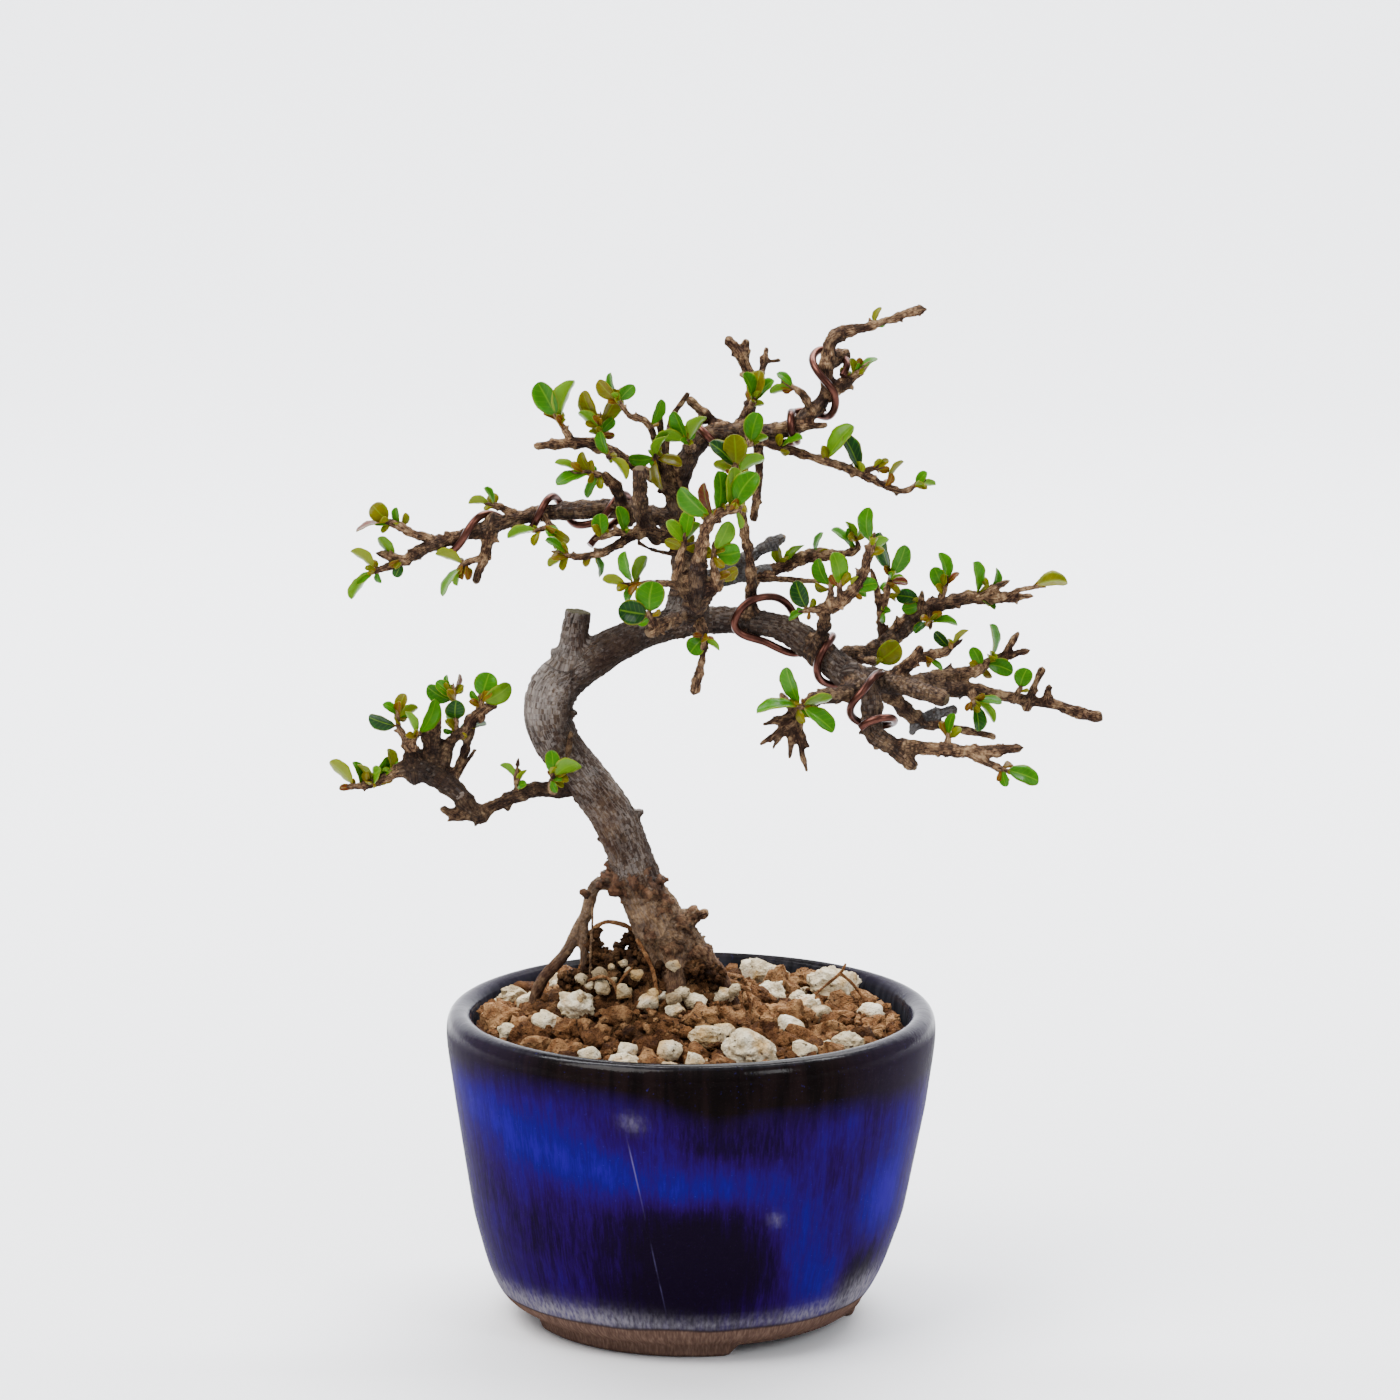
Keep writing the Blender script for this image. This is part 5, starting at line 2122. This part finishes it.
@dataclass
class Wood:
    """The trunk with its surface roots, and the branches and twigs that grow from it."""

    trunk_limbs: list[Limb] = field(default_factory=lambda: [TRUNK, TRUNK_STUB, *ROOTS])
    branch_limbs: list[Limb] = field(
        default_factory=lambda: [
            RIGHT_MAIN, APEX, UPPER_RIGHT, LOW_LEFT, UPPER_LEFT, LOW_RIGHT, FRONT_DOWN, RIGHT_MIDDLE,
            *BARE_WOOD, *FINE_WOOD,
        ]
    )
    trunk_voxel: float = 0.36
    branch_voxel: float = 0.335
    trunk_relief: float = 0.085
    branch_relief: float = 0.13
    upper_from: float = 134.0
    upper_youth: float = 0.5
    upper_exposure: float = 0.42
    low_corner: tuple[float, float] = (-24.0, 112.0)
    low_exposure: float = 0.14
    grey_until: float = -6.0
    grey_fade: float = 12.0
    grey_span: tuple[float, float] = (0.4, 0.75)
    young_below: float = 1.7
    joint_gap: tuple[float, float] = (2.6, 5.2)
    joint_swell: float = 1.16
    joint_rim: float = 1.07
    end_sink: float = 0.9
    knob_share: float = 0.86
    ball_shares: tuple[float, ...] = (-0.95, -0.7, -0.35, 0.0, 0.35, 0.7, 0.95)
    knot_top: float = 94.0
    knot_fade: float = 8.0
    knot_relief: float = 0.75

    @staticmethod
    def trunk_youth(width: float, height: float) -> float:
        """Return how young the trunk's bark looks, more so near the soil."""
        return 0.1 + 0.3 * clamped((84.0 - height) / 14.0)

    @staticmethod
    def trunk_exposure(place: Vector) -> float:
        """Say how bleached the trunk is: most outside its bend, least inside it and under the arch.

        Args:
            place: A place on it in millimetres.

        Returns:
            The share.
        """
        outer = soft_spot(place, (-32.5, 116.0), (4.8, 7.5))
        inner = soft_spot(place, (-26.5, 110.0), (3.6, 6.5))
        shaded = clamped((place.x + 27.0) / 7.0) * clamped((place.z - 112.0) / 7.0)
        return 0.74 + 0.34 * outer - 0.34 * inner - 0.5 * shaded

    def branch_youth(self, width: float, height: float) -> float:
        """Return how young a branch's bark looks, by its thickness and in the crown."""
        return max(self.upper_youth if height > self.upper_from else 0.12, min(1.0, (2.3 - width) / 1.1))

    def branch_exposure(self, place: Vector) -> float:
        """Say how bleached a branch is: the trunk's grey fades out along it, and the low one is dark.

        Args:
            place: A place on it in millimetres.

        Returns:
            The share.
        """
        if place.x < self.low_corner[0] and place.z < self.low_corner[1]:
            return self.low_exposure
        if place.z > self.upper_from:
            return self.upper_exposure
        return clamped(1.0 - (place.x - self.grey_until) / self.grey_fade, *self.grey_span)

    @staticmethod
    def bud(place: Vector, out: Vector, width: float, tall: float) -> Run:
        """Make a small bud on a twig.

        Args:
            place: The place on the twig's middle line.
            out: The way that the bud points.
            width: Radius of the twig.
            tall: Height of the bud over the twig.

        Returns:
            The bud as a short tube.
        """
        base = place + out * (width * 0.35)
        tip = place + out * (width * 0.55 + tall)
        fat = min(width * 0.62, 0.75)
        return [base, base.lerp(tip, 0.5), tip], [fat, fat * 0.85, fat * 0.4]

    @classmethod
    def knobby(cls, limb: Limb, seed: int, step: float = 0.7) -> list[Run]:
        """Run a tube along a limb with swellings at its leaf joints and small buds beside them.

        Args:
            limb: The limb.
            seed: Start of its random draws.
            step: Distance between the tube's points in millimetres.

        Returns:
            The tube and its buds.
        """
        picker = random.Random(seed)
        line, widths = smooth_path(limb, step)
        young = min(widths) < cls.young_below
        gone = 0.0
        joint = picker.uniform(1.5, 3.5)
        buds: list[Run] = []
        shaped = list(widths)
        for i, (ahead, side, quarter) in enumerate(carried_frames(line)):
            if i:
                gone += (line[i] - line[i - 1]).length
            uneven = noise.noise(Vector((gone * 0.33, seed * 1.7, 0.4)))
            shaped[i] = widths[i] * (1 + (0.14 if young else 0.06) * uneven)
            if young and gone > joint and i < len(line) - 1:
                joint = gone + picker.uniform(*cls.joint_gap)
                across, up = polar(1.0, picker.uniform(0, FULL_TURN))
                out = side * across + quarter * up + ahead * 0.45
                tall = widths[i] * 0.75 + picker.uniform(0.2, 0.5)
                buds.append(cls.bud(line[i], out, widths[i], tall))
                for near, swell in ((i - 1, cls.joint_rim), (i, cls.joint_swell), (i + 1, cls.joint_rim)):
                    if near >= 0:
                        shaped[near] = max(shaped[near], widths[i] * swell)
        return [rounded_ends(line, shaped, cls.end_sink), *buds]

    def ball(self, place: Vector, radius: float) -> Run:
        """Return a lump as a very short tube."""
        line = [place + UP * (radius * share) for share in self.ball_shares]
        return line, [radius * math.sqrt(1 - share * share) for share in self.ball_shares]

    def build(self, bark: Material) -> None:
        """Make the trunk piece and the branch piece.

        Args:
            bark: Their material.
        """
        runs = [smooth_path(limb, 0.7) for limb in self.trunk_limbs]
        share = self.knob_share
        knobs = [self.ball(seen_point(x, z, depth), radius * share) for x, z, depth, radius in KNOBS]
        trunk = tubes("trunk_and_roots", [*runs, *knobs], 5)
        melt_together(trunk, self.trunk_voxel, 4)
        BarkRelief(self.trunk_relief, self.trunk_youth, self.trunk_exposure).dress(trunk, self.trunk_limbs)
        self.roughen_knots(trunk)
        finish_piece(trunk, "bark", ["tree"], bark)
        shoots = [run for number, limb in enumerate(self.branch_limbs) for run in self.knobby(limb, number)]
        branches = tubes("branches_and_twigs", shoots, 4)
        melt_together(branches, self.branch_voxel, 2)
        relief = BarkRelief(self.branch_relief, self.branch_youth, self.branch_exposure)
        relief.dress(branches, self.branch_limbs)
        finish_piece(branches, "bark", ["tree"], bark)

    def roughen_knots(self, trunk: Thing) -> None:
        """Break up the lumps at the foot of the grey bark and write down where they are.

        Args:
            trunk: The trunk piece.
        """
        places = corner_array(trunk.data, "co") / MM
        normals = corner_array(trunk.data, "normal")
        away = [
            np.linalg.norm(places - np.array(seen_point(x, z, depth) + POT_AXIS), axis=1) / radius
            for x, z, depth, radius in KNOBS
        ]
        ragged = np.array([noise.fractal(Vector(place) * 0.75, 0.7, 2.1, 4) for place in places])
        share = np.clip(1.75 - np.min(away, axis=0) * 1.1 + ragged * 1.5, 0.0, 1.0)
        share = share * np.clip((self.knot_top - places[:, 2]) / self.knot_fade, 0.0, 1.0)
        places += normals * (ragged * share * self.knot_relief)[:, None]
        move_corners(trunk.data, places * MM)
        set_number(trunk, "knot", share)

    @staticmethod
    def root_tree() -> kdtree.KDTree:
        """Return the places along the surface roots for a quick search."""
        return search_tree([in_metres(p) for limb in [*ROOTS, TRUNK[:3]] for p in smooth_path(limb, 0.8)[0]])


@dataclass
class Foliage:
    """The leafy twigs: each a knobby stem with its small folded blades.

    A grid is how many cross-sections a blade has, closer towards its tip, and points across each.
    """

    leaf_grid: tuple[int, int] = (12, 7)
    scale_grid: tuple[int, int] = (7, 3)
    thickness: float = 0.13
    stalk_thickness: float = 0.2
    stalk_share: float = 0.12
    stem_voxel: float = 0.2
    stem_step: float = 0.5
    stem_relief: float = 0.16
    tip_pull: tuple[float, ...] = (0.9, -1.1, 0.2, 1.3, -0.5)
    fullness: float = 0.6
    curl: tuple[float, float] = (-0.08, 0.14)
    fold: tuple[float, float] = (0.16, 0.46)
    sway: float = 0.07
    tint_sway: float = 0.05
    arch_height: float = 0.08
    rim_thinning: float = 0.75
    scale_counts: tuple[int, ...] = (1, 2, 2, 3)
    scale_lengths: tuple[float, float] = (1.5, 3.1)
    scale_tints: tuple[float, ...] = (Tint.OLIVE.value, Tint.OLIVE.value, Tint.GREEN.value, 0.84, 0.9)

    def half_width(self, share: float) -> float:
        """Say how wide a blade is along its length.

        Args:
            share: Share of its length from its foot.

        Returns:
            Half its width there, as a share of its greatest.
        """
        if share <= self.stalk_share:
            return 0.0
        run = ((share - self.stalk_share) / (1 - self.stalk_share)) ** 1.22
        return math.sqrt(max(0.0, 1 - (2 * run - 1) ** 2)) ** 0.92

    @staticmethod
    def blade_faces(grid: tuple[int, int], flip: bool) -> list[tuple[int, ...]]:
        """Join a blade's two sides and close its edge.

        Args:
            grid: The blade's grid.
            flip: Whether the upper side lies that way up.

        Returns:
            The faces, all looking outwards.
        """
        stations, columns = grid
        lower = stations * columns
        faces: list[tuple[int, ...]] = []
        for i in range(stations - 1):
            for a in range(i * columns, (i + 1) * columns - 1):
                quad = (a, a + 1, a + columns + 1, a + columns)
                faces += [quad, tuple(lower + corner for corner in reversed(quad))]
        outline = list(range(columns))
        outline += [i * columns + columns - 1 for i in range(1, stations)]
        outline += [(stations - 1) * columns + j for j in range(columns - 2, -1, -1)]
        outline += [i * columns for i in range(stations - 2, 0, -1)]
        for here, after in zip(outline, [*outline[1:], outline[0]]):
            faces.append((after, here, lower + here, lower + after))
        return faces if flip else [tuple(reversed(face)) for face in faces]

    def blade(
        self, base: Vector, tip: Vector, seen: float, order: int, tint: float, grid: tuple[int, int]
    ) -> Rows:
        """Make one leaf: a closed thin blade with a fold, a curl and a short stalk.

        Args:
            base: Where it leaves its stem.
            tip: Its tip.
            seen: Its width as seen from the front, in millimetres.
            order: Its number on its twig.
            tint: Its place on the tint scale.
            grid: Its grid.

        Returns:
            Lists of its corners, faces, blade places, tints and under shares.
        """
        stations, columns = grid
        picker = random.Random(order * 31 + int(tip.x * 7) + int(tip.z * 13))
        length = (tip - base).length
        along = (tip - base).normalized()
        sight = (base - EYE).normalized()
        across_seen = along.cross(sight).normalized()
        facing = across_seen.cross(along).normalized()
        width = max(seen, self.fullness * length)
        roll = math.acos(min(1.0, seen / width)) * (1 if order % 2 == 0 else -1)
        across = across_seen * math.cos(roll) + facing * math.sin(roll)
        top = across.cross(along)
        if -top.dot(sight) * 0.6 + top.z < 0:
            top = -top
        curl = picker.uniform(*self.curl)
        fold = picker.uniform(*self.fold)
        sway = picker.uniform(-self.sway, self.sway)
        own = clamped(tint + picker.uniform(-self.tint_sway, self.tint_sway))
        chance = picker.random()
        rows: Rows = {"corners": [], "blade": [], "tint": [], "under": []}
        for side in (1, -1):
            for i in range(stations):
                share = math.sin(math.pi / 2 * i / (stations - 1)) ** 1.15
                arch = math.sin(math.pi * share)
                half = max(self.half_width(share) * width * 0.5, 0.2 if share < 0.9 else 0.07)
                spine = base + along * (share * length) + across * (sway * length * arch)
                rise = length * (self.arch_height * arch + curl * share * share)
                thick = self.thickness if share > self.stalk_share else self.stalk_thickness
                for j in range(columns):
                    t = j / (columns - 1) * 2 - 1
                    ripple = 0.05 * half * math.sin(share * 17 + chance * 9) * abs(t)
                    lift = rise + fold * half * abs(t) ** 1.4 + ripple
                    rim = thick * (1 - self.rim_thinning * t * t)
                    place = spine + across * (t * half) + top * (lift + rim * side)
                    rows["corners"].append(in_metres(place))
                    rows["blade"].append((share, t, chance))
                    rows["tint"].append(own)
                    rows["under"].append(0.0 if side > 0 else 1.0)
        rows["faces"] = self.blade_faces(grid, across.cross(along).dot(top) > 0)
        return rows

    def scales_at(self, base: Vector, tip: Vector, order: int) -> list[Rows]:
        """Make the small bud scales and first leaves that crowd a leaf's foot.

        Args:
            base: Where the leaf leaves its stem.
            tip: The leaf's tip.
            order: The leaf's number on its twig.

        Returns:
            The parts, each as blade gives them.
        """
        picker = random.Random(int(base.x * 91) + int(base.z * 57) + order)
        along = (tip - base).normalized()
        parts: list[Rows] = []
        for number in range(picker.choice(self.scale_counts)):
            lean = Vector([picker.gauss(0, 1) for _ in range(3)])
            lean = (lean - along * lean.dot(along)).normalized()
            length = picker.uniform(*self.scale_lengths)
            way = (along * picker.uniform(0.5, 1.2) + lean * picker.uniform(0.5, 0.95)).normalized()
            root = base + lean * 0.35 - along * 0.2
            end = root + way * length
            tint = picker.choice(self.scale_tints)
            parts.append(self.blade(root, end, length * 0.5, order + number + 11, tint, self.scale_grid))
        return parts

    def leaves_of(self, spray: Spray) -> Thing:
        """Make all leaves of a twig as one mesh.

        Args:
            spray: The twig.

        Returns:
            The mesh object with its tint, blade and under attributes.
        """
        stem_places = [place for stem in spray.stems for place in smooth_path(stem, self.stem_step)[0]]
        total: Rows = {"corners": [], "faces": [], "blade": [], "tint": [], "under": []}
        for order, (foot_x, foot_z, tip_x, tip_z, seen, depth) in enumerate(spray.leaves):
            wanted = seen_point(foot_x, foot_z, depth)
            base = min(stem_places, key=lambda place: (place - wanted).length)
            tip = seen_point(tip_x, tip_z, depth + self.tip_pull[order % len(self.tip_pull)])
            tint = TINT_LETTERS[spray.tints[order]].value
            leaf = self.blade(base, tip, seen, order, tint, self.leaf_grid)
            for rows in [leaf, *self.scales_at(base, tip, order)]:
                start = len(total["corners"])
                rows["faces"] = [tuple(corner + start for corner in face) for face in rows["faces"]]
                for name, values in rows.items():
                    total[name].extend(values)
        piece = mesh_from(f"blades_{spray.name}", total["corners"], total["faces"])
        set_vector(piece, "blade", np.array(total["blade"]))
        set_number(piece, "tint", total["tint"])
        set_number(piece, "under", total["under"])
        return piece

    def stems_of(self, spray: Spray, seed: int) -> Thing:
        """Make the stems of a twig, each with a bud at its end, as one skin.

        Args:
            spray: The twig.
            seed: Start of its random draws.

        Returns:
            The mesh object.
        """
        runs: list[Run] = []
        for k, stem in enumerate(spray.stems):
            runs += Wood.knobby(stem, seed + k, self.stem_step)
        for stem in spray.stems:
            line, widths = smooth_path(stem, self.stem_step)
            way = (line[-1] - line[-2]).normalized()
            fat = max(widths[-1], 0.5)
            bud = [line[-1], line[-1] + way * 0.7, line[-1] + way * 1.5]
            runs.append((bud, [fat * 1.1, fat * 0.8, 0.15]))
        stems = tubes(f"stem_{spray.name}", runs, 3)
        melt_together(stems, self.stem_voxel, 1)
        BarkRelief(self.stem_relief, lambda width, height: 1.0, lambda place: 0.8).dress(stems, spray.stems)
        return stems

    def build(self, leaf: Material, bark: Material) -> None:
        """Make every leafy twig.

        Args:
            leaf: Material of the leaves.
            bark: Material of the stems.
        """
        for number, spray in enumerate(SPRAYS):
            stems = self.stems_of(spray, 300 + number * 7)
            stems.data.materials.append(bark)
            twig = self.leaves_of(spray)
            twig.data.materials.append(leaf)
            make_active(twig, stems)
            bpy.ops.object.join()
            twig.name = f"twig_{spray.name}"
            finish_piece(twig, "leaves", [f"leaves_{spray.name}"])


@dataclass
class Wires:
    """The training wires wound round three branches."""

    radius: float = 0.72
    step: float = 0.2
    steps_between: int = 10
    smoothings: int = 6
    sides: int = 6
    crease: float = math.radians(50)

    def path(self, coil: Coil) -> list[Vector]:
        """Wind a wire round its branch.

        Args:
            coil: The wire.

        Returns:
            The places along it, in millimetres from the pot's axis.
        """
        line, widths = smooth_path(coil.host, self.step)
        frames = carried_frames(line)
        reached = [0.0]
        for here, after in zip(line, line[1:]):
            reached.append(reached[-1] + (after - here).length)
        stops = [Vector(stop) for stop in coil.turns]
        places: list[Vector] = []
        for i in range(len(stops) - 1):
            before, after = stops[max(i - 1, 0)], stops[min(i + 2, len(stops) - 1)]
            for k in range(self.steps_between):
                stop = between_points(before, stops[i], stops[i + 1], after, k / self.steps_between)
                index = min(int(np.searchsorted(reached, stop.x)), len(line) - 1)
                angle = (0.0 if coil.hand > 0 else math.pi) + coil.hand * stop.y * FULL_TURN
                _, side, quarter = frames[index]
                reach = widths[index] + self.radius + stop.z
                places.append(line[index] + (side * math.cos(angle) + quarter * math.sin(angle)) * reach)
        for _ in range(self.smoothings):
            inner = [(a + b * 2 + c) / 4 for a, b, c in zip(places, places[1:], places[2:])]
            places = [places[0], *inner, places[-1]]
        return places

    def build(self, finish: Material) -> None:
        """Make the three wires.

        Args:
            finish: Their material.
        """
        for coil in COILS:
            places = self.path(coil)
            wire = tubes(f"wound_{coil.name}", [(places, [self.radius] * len(places))], self.sides)
            wire.data.polygons.foreach_set("use_smooth", [True] * len(wire.data.polygons))
            make_active(wire)
            bpy.ops.object.shade_smooth_by_angle(angle=self.crease)
            finish_piece(wire, "training_wire", [coil.name], finish)


# Room and camera


@dataclass
class Studio:
    """A pale sweep, soft lights and the camera at the photograph's angle.

    A light is [place, target, width and height, watts, colour], in metres.
    """

    half_width: float = 2.2
    front: float = -2.4
    back: float = 1.3
    bend: float = 0.6
    bend_steps: int = 16
    height: float = 1.9
    camera_at: Point = (-0.00254, -0.9218, 0.2878)
    camera_tilt: float = math.radians(90.0 - 10.611)
    lens: float = 132.5
    sensor: float = 36.0
    sight: tuple[float, float] = (0.05, 20.0)
    sky: Colour = (0.93, 0.95, 1.0, 1.0)
    sky_strength: float = 0.8
    lights: dict[str, tuple[Point, Point, tuple[float, float], float, Point]] = field(
        default_factory=lambda: {
            "key_light": ((-0.65, -0.5, 1.25), (0.0, 0.0, 0.09), (0.8, 0.8), 26.0, (1.0, 0.98, 0.95)),
            "window_light": ((0.75, -0.85, 0.75), (0.0, 0.0, 0.09), (0.3, 0.45), 6.0, (0.95, 0.98, 1.0)),
            "back_light": ((0.2, 0.75, 1.1), (0.0, 0.0, 0.09), (0.9, 0.5), 14.0, (1.0, 1.0, 1.0)),
            "wall_light": ((0.0, 0.5, 1.7), (0.0, 1.8, 0.3), (2.4, 0.5), 120.0, (0.97, 0.98, 1.0)),
        }
    )

    def build_sweep(self, paper: Material) -> None:
        """Make the floor that curves up into the backdrop.

        Args:
            paper: Its material.
        """
        outline = [(self.front, 0.0), (self.back, 0.0)]
        for k in range(1, self.bend_steps + 1):
            turn = math.pi / 2 * k / self.bend_steps
            outline.append((self.back + self.bend * math.sin(turn), self.bend * (1 - math.cos(turn))))
        outline.append((self.back + self.bend, self.height))
        corners = [(side * self.half_width, y, z) for y, z in outline for side in (-1, 1)]
        faces = [(2 * i, 2 * i + 1, 2 * i + 3, 2 * i + 2) for i in range(len(outline) - 1)]
        sweep = mesh_from("studio_sweep", corners, faces)
        sweep.data.materials.append(paper)

    def hang_lights(self) -> None:
        """Hang the rectangular soft lights."""
        for name, (place, target, size, watts, tone) in self.lights.items():
            lamp = bpy.data.lights.new(name, "AREA")
            lamp.shape = "RECTANGLE"
            lamp.size, lamp.size_y = size
            lamp.energy = watts
            lamp.color = tone
            thing = new_object(name, lamp)
            thing.location = place
            thing.rotation_euler = (Vector(target) - Vector(place)).to_track_quat("-Z", "Y").to_euler()

    def build(self, paper: Material) -> None:
        """Make the sweep, the lights, the world and the camera.

        Args:
            paper: Material of the sweep.
        """
        self.build_sweep(paper)
        self.hang_lights()
        world = bpy.data.worlds.new("soft_room")
        bpy.context.scene.world = world
        world.use_nodes = True
        background = world.node_tree.nodes["Background"]
        background.inputs["Color"].default_value = self.sky
        background.inputs["Strength"].default_value = self.sky_strength
        lens = bpy.data.cameras.new("camera")
        lens.lens = self.lens
        lens.sensor_width = self.sensor
        lens.clip_start, lens.clip_end = self.sight
        camera = new_object("camera", lens)
        camera.location = self.camera_at
        camera.rotation_euler = (self.camera_tilt, 0.0, 0.0)
        bpy.context.scene.camera = camera


CLAY = StoneFinish(
    "fired clay crumb", dark=colour(64, 37, 21), body=colour(132, 90, 55), light=colour(196, 150, 104),
    stain=colour(74, 42, 23), stain_share=0.5, pore=colour(34, 19, 12), pore_edge=0.6, grit=0.003,
)
PUMICE = StoneFinish(
    "stained pumice", dark=colour(150, 130, 100), body=colour(212, 194, 158), light=colour(236, 226, 202),
    stain=colour(196, 148, 76), stain_share=0.6, pore=colour(70, 54, 38), pore_edge=0.62, grit=0.0012,
)


def main() -> None:
    """Build the bonsai piece by piece over its frame."""
    logging.basicConfig(level=logging.INFO, format="%(name)s %(message)s")
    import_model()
    clear_selection()
    effects = SharedEffects.build()
    bark = BarkFinish().build(effects)
    Studio().build(PaperFinish().build(effects))
    Pot().build(GlazeFinish().build(effects))
    Soil().build(Wood.root_tree(), CLAY.build(effects), PUMICE.build(effects))
    Wood().build(bark)
    Foliage().build(LeafFinish().build(effects), bark)
    Wires().build(WireFinish().build(effects))
    screen = bpy.data.objects["drain_screen"]
    screen.data.materials.clear()
    screen.data.materials.append(ScreenFinish().build(effects))


if __name__ == "__main__":
    main()
